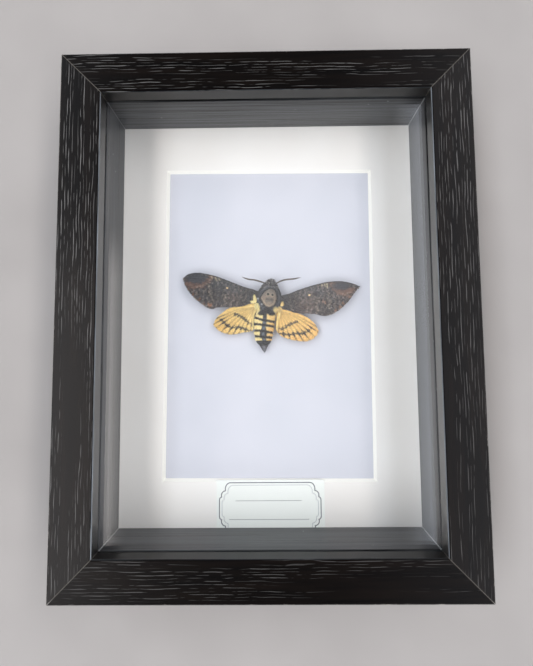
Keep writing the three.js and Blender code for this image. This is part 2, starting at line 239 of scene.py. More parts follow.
def ash_foil(name, turn, pore_colour, face_gloss, lip_gloss, lip_highlight):
    """Black foil with limed grain running along X once turned, satin and slightly embossed."""
    material, tree, shader = surface(name, specular_ior_level=face_gloss)

    # How far in from the two outer faces
    place = put(tree, "ShaderNodeTexCoord", out="Object")
    high = cad_box[1]
    mirrored = put(tree, "ShaderNodeVectorMath", place, operation="ABSOLUTE")
    inward = put(tree, "ShaderNodeVectorMath", (high.x, high.y, 0), mirrored, operation="SUBTRACT")
    from_side = put(tree, "ShaderNodeSeparateXYZ", inward, out="X")
    from_end = from_side.node.outputs["Y"]
    edge = put(tree, "ShaderNodeMath", from_side, from_end, operation="MINIMUM")

    # The grain is on the face and the outer sides; the lip's inner faces are left plain
    normal = put(tree, "ShaderNodeNewGeometry", out="True Normal")
    facing = put(tree, "ShaderNodeSeparateXYZ", normal, out="Z")
    front = put(tree, "ShaderNodeMath", facing, 0.5, operation="GREATER_THAN")
    side_skin = put(tree, "ShaderNodeMath", edge, SIDE_SKIN / 1000, operation="LESS_THAN")
    outside = put(tree, "ShaderNodeMath", front, side_skin, operation="MAXIMUM")
    grained, limed = limed_ground(tree, turn, pore_colour, outside)

    # The bare fibre shows as a hairline at the mitre, where the two distances are equal
    apart = put(tree, "ShaderNodeMath", from_side, from_end, operation="SUBTRACT")
    gap = put(tree, "ShaderNodeMath", apart, operation="ABSOLUTE")
    hairline = MITRE_HAIRLINE / 1000
    near = put(tree, "ShaderNodeMapRange", gap, hairline, 2.6 * hairline, 0.45, 0.0)
    cut = put(tree, "ShaderNodeMix", {0: near, 6: grained, 7: BARE_EDGE}, data_type="RGBA")

    # Pale patches along the top of the outer edge, and a thin highlight painted on the upper edge of the lip,
    # broken into patches
    level = put(tree, "ShaderNodeSeparateXYZ", place, out="Z")
    high_up = put(tree, "ShaderNodeMath", level, high.z - TOP_EDGE_DEPTH / 1000, operation="GREATER_THAN")
    rim = put(tree, "ShaderNodeMath", edge, PALE_RIM_WIDTH / 1000, operation="LESS_THAN")
    high_rim = put(tree, "ShaderNodeMath", rim, high_up, operation="MULTIPLY")
    rim_noise = noise(tree, (1 / 5, 1 / 5, 2), detail=5.0, roughness=0.7)
    rim_spots = put(tree, "ShaderNodeValToRGB", rim_noise, stops=[(0.58, 0.0), (0.66, 1.0)])
    rim_share = put(tree, "ShaderNodeMath", high_rim, rim_spots, operation="MULTIPLY")
    rim_marked = put(tree, "ShaderNodeMix", {0: rim_share, 6: cut, 7: PALE_RIM}, data_type="RGBA")
    inner = put(tree, "ShaderNodeMath", edge, FACE_WIDTH / 1000, operation="SUBTRACT")
    beside = put(tree, "ShaderNodeMath", inner, operation="ABSOLUTE")
    on_line = put(tree, "ShaderNodeMath", beside, LIP_HIGHLIGHT_WIDTH / 1000, operation="LESS_THAN")
    high_line = put(tree, "ShaderNodeMath", on_line, high_up, operation="MULTIPLY")
    highlight_breakup = noise(tree, (1 / 30, 1 / 30, 1 / 30), detail=4.0)
    highlight_patches = put(tree, "ShaderNodeValToRGB", highlight_breakup, stops=[(0.35, 0.4 * lip_highlight), (0.65, lip_highlight)])
    highlight_share = put(tree, "ShaderNodeMath", high_line, highlight_patches, operation="MULTIPLY")
    colour = put(tree, "ShaderNodeMix", {0: highlight_share, 6: rim_marked, 7: LIP_HIGHLIGHT_GREY}, data_type="RGBA")

    satin = put(tree, "ShaderNodeMapRange", outside, 0, 1, 0.3, 0.27)
    chalky = put(tree, "ShaderNodeMath", limed, 0.25, operation="MULTIPLY")
    rough = put(tree, "ShaderNodeMath", satin, chalky, operation="ADD")
    gloss = put(tree, "ShaderNodeMapRange", outside, 0, 1, lip_gloss, face_gloss)
    tree.links.new(gloss, shader.inputs["Specular IOR Level"])
    feed(tree, shader, colour, rough, limed, relief=0.00006, strength=0.6)
    return material


UPRIGHT = math.pi / 2
# Each foil's turn, pore colour, gloss on the face and inside the lip, strength of the highlight
# painted on the lip's upper edge, and its lengths
foils = {
    "black_ash_foil_top": (0, PORE_ACROSS, 0.055, 0.4, 0.1, ["moulding_top"]),
    "black_ash_foil_bottom": (0, PORE_ACROSS, 0.055, 0.16, 0.1, ["moulding_bottom"]),
    "black_ash_foil_upright": (UPRIGHT, PORE_UPRIGHT, 0.09, 0.95, 0.8, ["moulding_left", "moulding_right"]),
}
for name, (*finish, lengths) in foils.items():
    dress(lengths, ash_foil(name, *finish))


# Spacers
# Four strips that line the box from the mat to the glass and hold them apart. They are wrapped
# in a plain charcoal foil with fine straight lines along its length, and catch a little dust.
STRIP_DARK = "#0E0E10"
STRIP_PALE = "#47484D"
STRIP_WHITE = "#707276"
STRIP_FIBRE = "#DCDDE0"
DUST = "#D8DADD"
DUST_GRAINS_PER_MM = 0.13
SPLIT_HAIRLINE = 0.2
strip_corner = (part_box("spacer_right")[0].x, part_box("spacer_top")[0].y)


def dusted(tree, colour):
    """Lays a few pale grains of dust over a colour."""
    grains = put(tree, "ShaderNodeTexVoronoi", {
        "Vector": millimetres(tree), "Scale": DUST_GRAINS_PER_MM,
    }, out="Distance")
    share = put(tree, "ShaderNodeValToRGB", grains, stops=[(0.03, 0.7), (0.046, 0.0)])
    return put(tree, "ShaderNodeMix", {0: share, 6: colour, 7: DUST}, data_type="RGBA")


def lined_foil(name, turn):
    """Charcoal wrapped strip, satin, with fine lines along X once turned."""
    material, tree, shader = surface(name, roughness=0.36, specular_ior_level=0.5)
    line_field = noise(tree, (1 / 120, 1.0, 1.0), turn, detail=4.0, roughness=0.7)
    ground = put(tree, "ShaderNodeValToRGB", line_field, stops=[(0.42, STRIP_DARK), (0.58, STRIP_PALE)])
    scuffs = noise(tree, (1 / 14, 2.0, 2.0), turn, detail=1.0)
    scratch = put(tree, "ShaderNodeValToRGB", scuffs, stops=[(0.68, 0.0), (0.76, 0.5)])
    lined = put(tree, "ShaderNodeMix", {0: scratch, 6: ground, 7: STRIP_WHITE}, data_type="RGBA")

    # A pale hairline of bare fibre runs down the corner where two strips meet. It is painted
    # fainter towards the upper left corner, as shade there.
    place = put(tree, "ShaderNodeTexCoord", out="Object")
    mirrored = put(tree, "ShaderNodeVectorMath", place, operation="ABSOLUTE")
    corner = put(tree, "ShaderNodeVectorMath", mirrored, (*strip_corner, 0), operation="SUBTRACT")
    unsigned = put(tree, "ShaderNodeVectorMath", corner, operation="ABSOLUTE")
    apart = put(tree, "ShaderNodeSeparateXYZ", unsigned, out="X")
    away = put(tree, "ShaderNodeMath", apart, apart.node.outputs["Y"], operation="MAXIMUM")
    hairline = SPLIT_HAIRLINE / 1000
    near = put(tree, "ShaderNodeMapRange", away, hairline, 2 * hairline, 0.9, 0.0)
    share = put(tree, "ShaderNodeMath", near, shading_diagonal(tree, 0.3, 1.0), operation="MULTIPLY")
    dusty = dusted(tree, lined)
    colour = put(tree, "ShaderNodeMix", {0: share, 6: dusty, 7: STRIP_FIBRE}, data_type="RGBA")
    rough = put(tree, "ShaderNodeMapRange", line_field, 0.35, 0.65, 0.24, 0.55)
    gloss = put(tree, "ShaderNodeMapRange", line_field, 0.38, 0.62, 0.25, 0.8)
    tree.links.new(gloss, shader.inputs["Specular IOR Level"])
    feed(tree, shader, colour, rough, line_field, relief=0.00008, strength=0.8)
    return material


dress(["spacer_top", "spacer_bottom"], lined_foil("charcoal_strip_across", 0))
dress(["spacer_left", "spacer_right"], lined_foil("charcoal_strip_upright", UPRIGHT))


# Glass
# One sheet of 2 mm float glass under the lip. It is clear from the front, with plain polished
# reflections that grow towards a flat angle.
GLASS_TINT = "#FBFDFC"
GLASS_SHINE = "#FFFFFF"

glass_material = bpy.data.materials.new("picture_glass")
glass_material.use_nodes = True
glass_tree = glass_material.node_tree
glass_tree.nodes.remove(glass_tree.nodes["Principled BSDF"])
clear = put(glass_tree, "ShaderNodeBsdfTransparent", {"Color": GLASS_TINT})
mirror = put(glass_tree, "ShaderNodeBsdfGlossy", {"Color": GLASS_SHINE, "Roughness": 0.02})
# The mirrored share grows towards a flat angle, the same on both faces of the sheet
facing = put(glass_tree, "ShaderNodeLayerWeight", {"Blend": 0.5}, out="Facing")
grazing = put(glass_tree, "ShaderNodeMath", facing, 5.0, operation="POWER")
shine = put(glass_tree, "ShaderNodeMapRange", grazing, 0, 1, 0.04, 1.0)
pane = put(glass_tree, "ShaderNodeMixShader", {0: shine, 1: clear, 2: mirror})
glass_tree.links.new(pane, glass_tree.nodes["Material Output"].inputs["Surface"])
dress(["glass"], glass_material)


# Mat board
# One sheet of off-white mat board with a window cut at 45 degrees. The cut shows the board's
# brighter white core as a bevel all round the window.
MAT_FACE = "#F3EDED"
MAT_FACE_WARM = "#F0E9E8"
MAT_CORE = "#FFFAF6"

mat_material, tree, shader = surface("off_white_mat_board", roughness=0.95, specular_ior_level=0.2)
paper_field = noise(tree, (3.5, 3.5, 3.5), detail=5.0)
clouds = noise(tree, (0.03, 0.03, 0.03))
mat_face = put(tree, "ShaderNodeValToRGB", clouds, stops=[(0.3, MAT_FACE), (0.7, MAT_FACE_WARM)])
normal = put(tree, "ShaderNodeNewGeometry", out="True Normal")
facing = put(tree, "ShaderNodeSeparateXYZ", normal, out="Z")
level = put(tree, "ShaderNodeMath", facing, 0.9, operation="GREATER_THAN")
mat_colour = put(tree, "ShaderNodeMix", {0: level, 6: MAT_CORE, 7: mat_face}, data_type="RGBA")
feed(tree, shader, mat_colour, None, paper_field, relief=0.00003, strength=0.5)
dress(["mat_board"], mat_material)


# Backing card
# The smooth white card that the moth is glued to. Card this white is brightened with a blue
# dye, so that it looks a little violet beside the mat.
CARD_WHITE = "#CECCD8"
CARD_SHADE = "#C9C8D4"

card_material, tree, shader = surface("white_backing_card", roughness=0.9, specular_ior_level=0.25)
clouds = noise(tree, (0.04, 0.04, 0.04))
card_colour = put(tree, "ShaderNodeValToRGB", clouds, stops=[(0.3, CARD_WHITE), (0.7, CARD_SHADE)])
card_field = noise(tree, (4, 4, 4), detail=4.0)
feed(tree, shader, card_colour, None, card_field, relief=0.00002, strength=0.4)
dress(["backing_card"], card_material)


# Back board
# Brown hardboard, pressed from wood fibre, that closes the back of the box. Its fibres give it
# a fine felted mottle. It drops into the rebate behind the card and is held by the tabs.
BOARD_DARK = "#4E3421"
BOARD_BROWN = "#6F4D33"
BOARD_PALE = "#8C6848"


def mottled(name, stops, field, relief=None, strength=1.0, **values):
    """A material whose colour follows one noise field, and its bump too where a relief is given."""
    material, tree, shader = surface(name, **values)
    grain = noise(tree, **field)
    colour = put(tree, "ShaderNodeValToRGB", grain, stops=stops)
    feed(tree, shader, colour, None, grain if relief else None, relief, strength)
    return material


board_colours = [(0.3, BOARD_DARK), (0.55, BOARD_BROWN), (0.75, BOARD_PALE)]
fibres = {"stretch": (1.1, 1.1, 1.1), "detail": 8.0, "roughness": 0.75, "distortion": 1.5}
dress(["back_board"], mottled(
    "brown_hardboard", board_colours, fibres, relief=0.0001, strength=0.6, roughness=0.8,
    specular_ior_level=0.3,
))


# Tabs and hanger
# Flat retaining tabs, a sawtooth hanger and its two nails, all stamped from zinc plated steel
# that has dulled to a soft uneven grey.
ZINC_DULL = "#9FA1A3"
ZINC_PALE = "#C2C4C6"

zinc_material, tree, shader = surface("zinc_plated_steel", metallic=1.0, roughness=0.38)
crystals = put(tree, "ShaderNodeTexVoronoi", {"Vector": millimetres(tree), "Scale": 0.8}, out="Color")
spangle = put(tree, "ShaderNodeSeparateXYZ", crystals, out="X")
zinc_colour = put(tree, "ShaderNodeValToRGB", spangle, stops=[(0.0, ZINC_DULL), (1.0, ZINC_PALE)])
zinc_rough = put(tree, "ShaderNodeMapRange", spangle, 0, 1, 0.3, 0.48)
feed(tree, shader, zinc_colour, zinc_rough)
fixings = [name for name in nodes if name.startswith(("retaining_tab", "hanger_nail", "sawtooth"))]
dress(fixings, zinc_material)


# Label
# A white printed card that lies on the mat, its lower edge under the spacer. The border is a
# thick and a thin grey line round a stepped plaque, with two ruled lines left to write on.
LABEL_WHITE = "#F7F7F6"
LABEL_SHADE = "#EFEFEE"
INK_DARK = "#5A5966"
INK_WORN = "#7A7986"
FAINT_INK = "#A9A8B2"
FAINT_INK_WORN = "#BDBCC6"
PRINT_LIFT = 0.015
BORDER_WIDTH = 0.46
INNER_BORDER_WIDTH = 0.24
RULED_WIDTH = 0.2
plaque_middle = (0.25, -88.2)
plaque_half = (23.85, 11.7)
inner_inset = (1.25, 1.15)

dress(["label"], mottled(
    "label_paper", [(0.2, LABEL_SHADE), (0.8, LABEL_WHITE)], {"stretch": (5, 5, 5), "detail": 4.0},
    relief=0.00002, strength=0.4, roughness=0.9, specular_ior_level=0.25,
))


def printing_ink(name, dark, pale):
    """Ink soaked a little unevenly into the paper."""
    field = {"stretch": (9, 9, 9)}
    return mottled(name, [(0.35, dark), (0.75, pale)], field, roughness=0.8, specular_ior_level=0.3)


line_ink = printing_ink("grey_printing_ink", INK_DARK, INK_WORN)
faint_ink = printing_ink("faint_printing_ink", FAINT_INK, FAINT_INK_WORN)


def piece(name, points, faces, material, smooth=True):
    """A mesh of points in millimetres as a finished piece of the object."""
    mesh = bpy.data.meshes.new(name)
    mesh.from_pydata(np.asarray(points, float) / 1000, [], [list(map(int, face)) for face in faces])
    mesh.materials.append(material)
    mesh.polygons.foreach_set("use_smooth", [smooth] * len(mesh.polygons))
    made = bpy.data.objects.new(name, mesh)
    scene.collection.objects.link(made)
    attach(made, "root")
    return made


def arc(centre, radii, start, end, steps):
    """Points along part of an oval, the angles in degrees."""
    angles = np.radians(np.linspace(start, end, steps + 1))
    return [(centre[0] + radii[0] * math.cos(a), centre[1] + radii[1] * math.sin(a)) for a in angles]


def plaque_outline(inset_x, inset_y):
    """The stepped plaque, each corner three bulging arcs that meet in two small notches."""
    half_x = plaque_half[0] - inset_x
    half_y = plaque_half[1] - inset_y
    corner = arc((half_x - 1.25, half_y - 7.9), (1.25, 1.35), 0, 86, 5)
    corner += arc((half_x - 2.9, half_y - 5.75), (1.97, 2.05), -22, 88, 7)
    corner += arc((half_x - 5.2, half_y - 2.9), (2.43, 2.9), -15, 90, 8)
    quarters = []
    for flip_x, flip_y in ((1, 1), (-1, 1), (-1, -1), (1, -1)):
        turned = [(x * flip_x, y * flip_y) for x, y in corner]
        quarters += turned if flip_x * flip_y > 0 else turned[::-1]
    return [(plaque_middle[0] + x, plaque_middle[1] + y) for x, y in quarters]


def unit(vectors):
    """Rows of vectors brought to length one."""
    return vectors / np.linalg.norm(vectors, axis=1)[:, None]


def ribbon(line, width, closed):
    """Points on both sides of a line, and the faces between them."""
    path = np.array(line)
    if closed:
        ahead = np.roll(path, -1, axis=0) - path
        behind = path - np.roll(path, 1, axis=0)
    else:
        ahead = np.vstack([path[1:] - path[:-1], path[-1:] - path[-2:-1]])
        behind = np.vstack([path[1:2] - path[:1], path[1:] - path[:-1]])
    along = unit(unit(ahead) + unit(behind))
    across = np.stack([-along[:, 1], along[:, 0]], axis=1) * width / 2
    sides = np.hstack([path + across, path - across]).reshape(-1, 2)
    count = len(path)
    last = count if closed else count - 1
    total = 2 * count
    faces = [(2 * i, 2 * i + 1, (2 * i + 3) % total, (2 * i + 2) % total) for i in range(last)]
    return sides, faces


def printed(name, jobs, ink):
    """Lines printed on the label, each a line, its width and whether it closes."""
    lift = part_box("label")[1].z * 1000 + PRINT_LIFT
    points = []
    faces = []
    for line, width, closed in jobs:
        sides, quads = ribbon(line, width, closed)
        start = len(points)
        points += [(x, y, lift) for x, y in sides]
        faces += [[start + i for i in quad] for quad in quads]
    return piece(name, points, faces, ink, smooth=False)


printed("label_border", [(plaque_outline(0, 0), BORDER_WIDTH, True)], line_ink)
printed("label_inner_border", [(plaque_outline(*inner_inset), INNER_BORDER_WIDTH, True)], faint_ink)
writing_lines = [[(-16, -84.8), (15, -84.8)], [(-19, -93.3), (18.5, -93.3)]]
printed("label_writing_lines", [(line, RULED_WIDTH, False) for line in writing_lines], line_ink)


# Wings
# Two pairs of thin stiff wings, grown from the thorax and dried flat. Each is a clear membrane
# pleated along its veins and tiled with tiny overlapping scales, which carry all the colour.
CARD_CLEARANCE = 0.1
MEMBRANE = 0.2
SPAN_STEPS = 170
CHORD_STEPS = 66
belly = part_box("backing_card")[1].z * 1000 + CARD_CLEARANCE


def smooth_line(points, count):
    """Points spaced evenly along a smooth curve through the given ones."""
    known = np.array([points[0], *points, points[-1]], float)
    t = np.linspace(0, 1, 24, endpoint=False)[:, None]
    runs = []
    for a, b, c, d in zip(known, known[1:], known[2:], known[3:]):
        start = (c - a) / 2
        end = (d - b) / 2
        cubic = (2 * b - 2 * c + start + end) * t**3
        square = (3 * c - 3 * b - 2 * start - end) * t**2
        runs.append(cubic + square + start * t + b)
    dense = np.vstack(runs + [known[-1:]])
    travelled = np.concatenate([[0], np.cumsum(np.linalg.norm(np.diff(dense, axis=0), axis=1))])
    even = np.linspace(0, travelled[-1], count)
    return np.stack([np.interp(even, travelled, column) for column in dense.T], axis=1)


def soft_step(low, high, value):
    t = np.clip((value - low) / (high - low), 0, 1)
    return t * t * (3 - 2 * t)


def painted(colour, *layers):
    """Lays hex colours over an array of linear colours in turn, each by a share from 0 to 1."""
    for over, share in layers:
        share = np.clip(share, 0, 1)[:, None]
        colour = colour * (1 - share) + np.array(linear(over)) * share
    return colour


def peak(value, width):
    """A smooth hill, 1 where the value is 0 and almost nothing past twice the width."""
    return np.exp(-((value / width) ** 2))


def wobble(places, size, seed):
    """Smooth noise between about -1 and 1, with features of the given size."""
    draw = np.random.default_rng(seed)
    total = np.zeros(len(places))
    for octave, weight in enumerate((1.0, 0.55, 0.3)):
        for _ in range(4):
            angle, phase = draw.uniform(0, 2 * math.pi, 2)
            pitch = size * draw.uniform(0.7, 1.4) / 2**octave
            direction = np.array([math.cos(angle), math.sin(angle)])
            bend = 1.3 * np.sin(places @ direction[::-1] * 2.1 / pitch + phase * 3)
            total += weight * np.sin(places @ direction * 2 * math.pi / pitch + phase + bend)
    return total / 2.4


def line_distance(places, line):
    """Distance of each place from a polyline."""
    best = np.full(len(places), 1e9)
    path = np.array(line, float)
    for start, end in zip(path, path[1:]):
        along = end - start
        share = np.clip((places - start) @ along / (along @ along), 0, 1)
        best = np.minimum(best, np.linalg.norm(places - start - share[:, None] * along, axis=1))
    return best


def blot(places, middle, half, soft=0.5):
    """An oval patch, 1 inside and falling to 0 past its edge."""
    reach = np.linalg.norm((places - np.array(middle)) / np.array(half), axis=1)
    return 1 - soft_step(1 - soft, 1 + soft, reach)


class WingGrid:
    """The middle surface of a wing between its front and rear edge, both from root to tip."""

    def __init__(self, front, rear):
        self.front = smooth_line(front, SPAN_STEPS + 1)
        self.rear = smooth_line(rear, SPAN_STEPS + 1)
        span, chord = np.meshgrid(
            np.linspace(0, 1, SPAN_STEPS + 1), np.linspace(0, 1, CHORD_STEPS + 1), indexing="ij"
        )
        self.span = span.ravel()
        self.chord = chord.ravel()
        self.places = self.at(self.span, self.chord)

    def at(self, span, chord):
        """The place, seen from above, of a share of the span and a share of the chord."""
        steps = np.clip(np.asarray(span, float), 0, 1) * SPAN_STEPS
        index = np.arange(SPAN_STEPS + 1)
        front = np.stack([np.interp(steps, index, column) for column in self.front.T], axis=-1)
        rear = np.stack([np.interp(steps, index, column) for column in self.rear.T], axis=-1)
        chord = np.asarray(chord, float)[..., None]
        return front * (1 - chord) + rear * chord


def store(mesh, name, kind, values):
    """Keeps an array on the mesh's points under a name that materials and nodes read."""
    made = mesh.attributes.new(name, kind, "POINT")
    key = {"FLOAT": "value", "FLOAT_COLOR": "color", "FLOAT_VECTOR": "vector"}[kind]
    made.data.foreach_set(key, np.asarray(values, np.float32).ravel())


def face_outward(mesh):
    """Turns the faces of a closed mesh outwards."""
    turned = bmesh.new()
    turned.from_mesh(mesh)
    bmesh.ops.recalc_face_normals(turned, faces=turned.faces)
    turned.to_mesh(mesh)
    turned.free()


def outward_comb(grid):
    """The direction from root to margin at each place, seen from above."""
    ahead = grid.at(np.minimum(grid.span + 0.03, 1.0), grid.chord)
    back = grid.at(np.minimum(grid.span + 0.03, 1.0) - 0.03, grid.chord)
    whole = np.ones_like(grid.span)
    rearward = grid.at(grid.span, whole) - grid.at(grid.span, 0 * whole)
    rearward /= np.linalg.norm(rearward, axis=1)[:, None] + 1e-9
    along = ahead - back
    along /= np.linalg.norm(along, axis=1)[:, None] + 1e-9
    share = soft_step(0.5, 1.0, grid.chord)[:, None] * 0.9
    comb = along * (1 - 0.4 * share) + rearward * share
    return np.column_stack([unit(comb), np.zeros(len(comb))])


def wing_mesh(name, grid, height, pigment, material):
    """The membrane as a closed slab, with its pigment, scale direction and scale cover stored."""
    columns = CHORD_STEPS + 1
    count = len(grid.places)
    edge = np.minimum.reduce([grid.chord, 1 - grid.chord, grid.span + 0.1, (1 - grid.span) * 1.5])
    half = MEMBRANE / 2 * (0.25 + 0.75 * soft_step(0, 0.06, edge))
    top = np.column_stack([grid.places, belly + height + half])
    under = np.column_stack([grid.places, belly + height - half])
    faces = []
    for i in range(SPAN_STEPS):
        for j in range(CHORD_STEPS):
            a = i * columns + j
            quad = (a, a + 1, a + columns + 1, a + columns)
            faces.append(quad)
            faces.append(tuple(count + k for k in quad[::-1]))
    rim = [i * columns for i in range(SPAN_STEPS + 1)]
    rim += [SPAN_STEPS * columns + j for j in range(1, columns)]
    rim += [i * columns + CHORD_STEPS for i in range(SPAN_STEPS - 1, -1, -1)]
    rim += list(range(CHORD_STEPS - 1, 0, -1))
    faces += [(a, b, count + b, count + a) for a, b in zip(rim, rim[1:] + rim[:1])]
    made = piece(name, np.vstack([top, under]), faces, material)
    # The underside repeats the pattern painted a fifth darker, as shade
    store(made.data, "pigment", "FLOAT_COLOR", np.vstack([pigment, pigment * 0.8]))
    store(made.data, "comb", "FLOAT_VECTOR", np.tile(outward_comb(grid), (2, 1)))
    store(made.data, "cover", "FLOAT", np.repeat([1.0, 0.0], count))
    face_outward(made.data)
    return made


def scale_material(name, sheen, grain_mm):
    """Dry scales or fur: matt, soft at the rim, coloured by the pigment stored on the mesh."""
    material, tree, shader = surface(
        name, roughness=0.85, specular_ior_level=0.25, sheen_weight=sheen, sheen_roughness=0.5
    )
    pigment = put(tree, "ShaderNodeAttribute", out="Color", attribute_name="pigment")
    shade = put(tree, "ShaderNodeAttribute", out="Fac", attribute_name="shade")
    speckle = noise(tree, scale=1 / grain_mm, detail=4.0, roughness=0.7)
    spread = put(tree, "ShaderNodeMapRange", speckle, 0.25, 0.75, 0.72, 1.28)
    lifted = put(tree, "ShaderNodeMath", spread, shade, operation="ADD")
    colour = put(tree, "ShaderNodeVectorMath", {0: pigment, "Scale": lifted}, operation="SCALE")
    feed(tree, shader, colour, None, speckle, relief=0.00006, strength=0.5)
    return material


forewing_scales = scale_material("dark_wing_scales", 0.15, 0.5)
hindwing_scales = scale_material("yellow_wing_scales", 0.1, 0.6)


def scatter_tree(name, shape):
    """Scatters scales or hairs over a surface, laid along its stored comb direction."""
    tree = bpy.data.node_groups.new(name, "GeometryNodeTree")
    face = tree.interface
    face.new_socket("Geometry", in_out="INPUT", socket_type="NodeSocketGeometry")
    for label in ("Density", "Length", "Width", "Lift", "Scatter"):
        face.new_socket(label, in_out="INPUT", socket_type="NodeSocketFloat")
    face.new_socket("Seed", in_out="INPUT", socket_type="NodeSocketInt")
    face.new_socket("Finish", in_out="INPUT", socket_type="NodeSocketMaterial")
    face.new_socket("Geometry", in_out="OUTPUT", socket_type="NodeSocketGeometry")
    given = tree.nodes.new("NodeGroupInput").outputs
    cover = put(tree, "GeometryNodeInputNamedAttribute", "cover", data_type="FLOAT")
    density = put(tree, "ShaderNodeMath", cover, given["Density"], operation="MULTIPLY")
    spread = put(tree, "GeometryNodeDistributePointsOnFaces", {
        "Mesh": given["Geometry"], "Density": density, "Seed": given["Seed"],
    }, out="Points")
    normal = spread.node.outputs["Normal"]
    comb = put(tree, "GeometryNodeInputNamedAttribute", "comb", data_type="FLOAT_VECTOR")
    stray = put(tree, "FunctionNodeRandomValue", {
        0: (-1, -1, -1), 1: (1, 1, 1), "Seed": given["Seed"],
    }, data_type="FLOAT_VECTOR")
    strayed = put(tree, "ShaderNodeVectorMath", {0: stray, "Scale": given["Scatter"]}, operation="SCALE")
    raised = put(tree, "ShaderNodeVectorMath", {0: normal, "Scale": given["Lift"]}, operation="SCALE")
    laid = put(tree, "ShaderNodeVectorMath", comb, strayed, operation="ADD")
    aimed = put(tree, "ShaderNodeVectorMath", laid, raised, operation="ADD")
    if shape == "scale":
        flake = put(tree, "GeometryNodeMeshGrid", {
            "Size X": given["Length"], "Size Y": given["Width"], "Vertices X": 2, "Vertices Y": 2,
        })
        half = put(tree, "ShaderNodeMath", given["Length"], 0.5, operation="MULTIPLY")
        reach = put(tree, "ShaderNodeCombineXYZ", half)
        seated = put(tree, "GeometryNodeTransform", {"Geometry": flake, "Translation": reach})
        flat = put(tree, "FunctionNodeAlignRotationToVector", {"Vector": normal}, axis="Z")
        turned = put(tree, "FunctionNodeAlignRotationToVector", {
            "Rotation": flat, "Vector": aimed,
        }, axis="X")
    else:
        seated = put(tree, "GeometryNodeMeshCone", {
            "Vertices": 3, "Radius Top": 0.0, "Radius Bottom": given["Width"], "Depth": given["Length"],
        }, fill_type="NONE")
        turned = put(tree, "FunctionNodeAlignRotationToVector", {"Vector": aimed}, axis="Z")
    size_draw = put(tree, "FunctionNodeRandomValue", {
        2: 0.65, 3: 1.35, "Seed": given["Seed"],
    }, data_type="FLOAT")
    reach_field = put(tree, "GeometryNodeInputNamedAttribute", "reach", data_type="FLOAT")
    exists = reach_field.node.outputs["Exists"]
    chosen = put(tree, "GeometryNodeSwitch", {
        "Switch": exists, "False": 1.0, "True": reach_field,
    }, input_type="FLOAT")
    size = put(tree, "ShaderNodeMath", size_draw, chosen, operation="MULTIPLY")
    placed = put(tree, "GeometryNodeInstanceOnPoints", {
        "Points": spread, "Instance": seated, "Rotation": turned, "Scale": size,
    })
    shade = put(tree, "FunctionNodeRandomValue", {2: -0.28, 3: 0.28, "Seed": 7}, data_type="FLOAT")
    tinted = put(tree, "GeometryNodeStoreNamedAttribute", {
        "Geometry": placed, "Name": "shade", "Value": shade,
    }, data_type="FLOAT", domain="INSTANCE")
    real = put(tree, "GeometryNodeRealizeInstances", {"Geometry": tinted})
    finished = put(tree, "GeometryNodeSetMaterial", {"Geometry": real, "Material": given["Finish"]})
    end = tree.nodes.new("NodeGroupOutput")
    tree.links.new(finished, end.inputs["Geometry"])
    return tree


scale_scatter = scatter_tree("wing_scales", "scale")
fur_scatter = scatter_tree("fur", "hair")


def scattered(name, ground, tree, finish, seed, density, length, width, lift, scatter):
    """The scales or hairs of one surface as a plain mesh piece. Density is per square mm."""
    holder = bpy.data.objects.new(name, ground.data)
    scene.collection.objects.link(holder)
    modifier = holder.modifiers.new("scatter", "NODES")
    modifier.node_group = tree
    wanted = {
        "Density": density * 1e6, "Length": length / 1000, "Width": width / 1000, "Lift": lift,
        "Scatter": scatter, "Seed": seed, "Finish": finish,
    }
    for item in tree.interface.items_tree:
        if item.in_out == "INPUT" and item.name in wanted:
            modifier[item.identifier] = wanted[item.name]
    evaluated = holder.evaluated_get(bpy.context.evaluated_depsgraph_get())
    mesh = bpy.data.meshes.new_from_object(evaluated)
    mesh.name = name
    holder.modifiers.clear()
    holder.data = mesh
    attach(holder, "root")
    return holder


def veins_of(grid, lines):
    """Vein lines as polylines seen from above, given as shares of span and chord."""
    return [grid.at([s for s, _ in line], [c for _, c in line]) for line in lines]


def vein_field(places, veins, width):
    return peak(np.minimum.reduce([line_distance(places, vein) for vein in veins]), width)


# Forewings
# Long, narrow and dark: charcoal and brown scales in fine ripples across, a cream speck in the
# middle, a slate oval inside the tip, buff streaks at the front edge and rust along the rear.
FOREWING_RISE = 5.3
FORE_CHARCOAL = "#3D3A3D"
FORE_SLATE = "#525159"
FORE_BROWN = "#564540"
FORE_RUST = "#785A51"
FORE_BUFF = "#C0AEA0"
FORE_GREY = "#9A8F90"
FORE_STEEL = "#5B636D"
FORE_CREAM = "#FFDDA6"
FORE_STREAK = "#C9B99D"
FORE_SPOT = "#A5745A"
FORE_BLACK = "#19181B"
forewing_edges = {
    "forewing_left": (
        [(-3.7, 13.5), (-6.6, 14.6), (-9.5, 15.4), (-14, 17), (-23, 20.6), (-28, 22.1), (-33.5, 23),
         (-38, 22.4), (-40.4, 20.6)],
        [(-4.0, 8.1), (-6, 8.4), (-8, 8.4), (-11.5, 7.2), (-15, 6.6), (-23.2, 6.5), (-26.5, 5.7),
         (-28.6, 6.1), (-31.5, 8.1), (-34.6, 10.5), (-37.6, 13.9), (-39.4, 16.9), (-40.5, 20)],
    ),
    "forewing_right": (
        [(5.0, 11.1), (7.4, 11.9), (10, 12.4), (13.8, 13.9), (18.4, 15.4), (23.3, 16.8), (28.2, 17.8),
         (33.2, 18.2), (36.6, 18), (40.8, 17), (43.8, 15.7)],
        [(5.0, 7.6), (6.8, 6.9), (8.4, 5.9), (10.6, 4.5), (13.6, 3.5), (19.5, 3.1), (23.4, 2.6),
         (26.6, 1.8), (30.4, 2.7), (33.5, 4.5), (36.5, 6.9), (39, 9.6), (41, 12.4), (43.6, 15.2)],
    ),
}
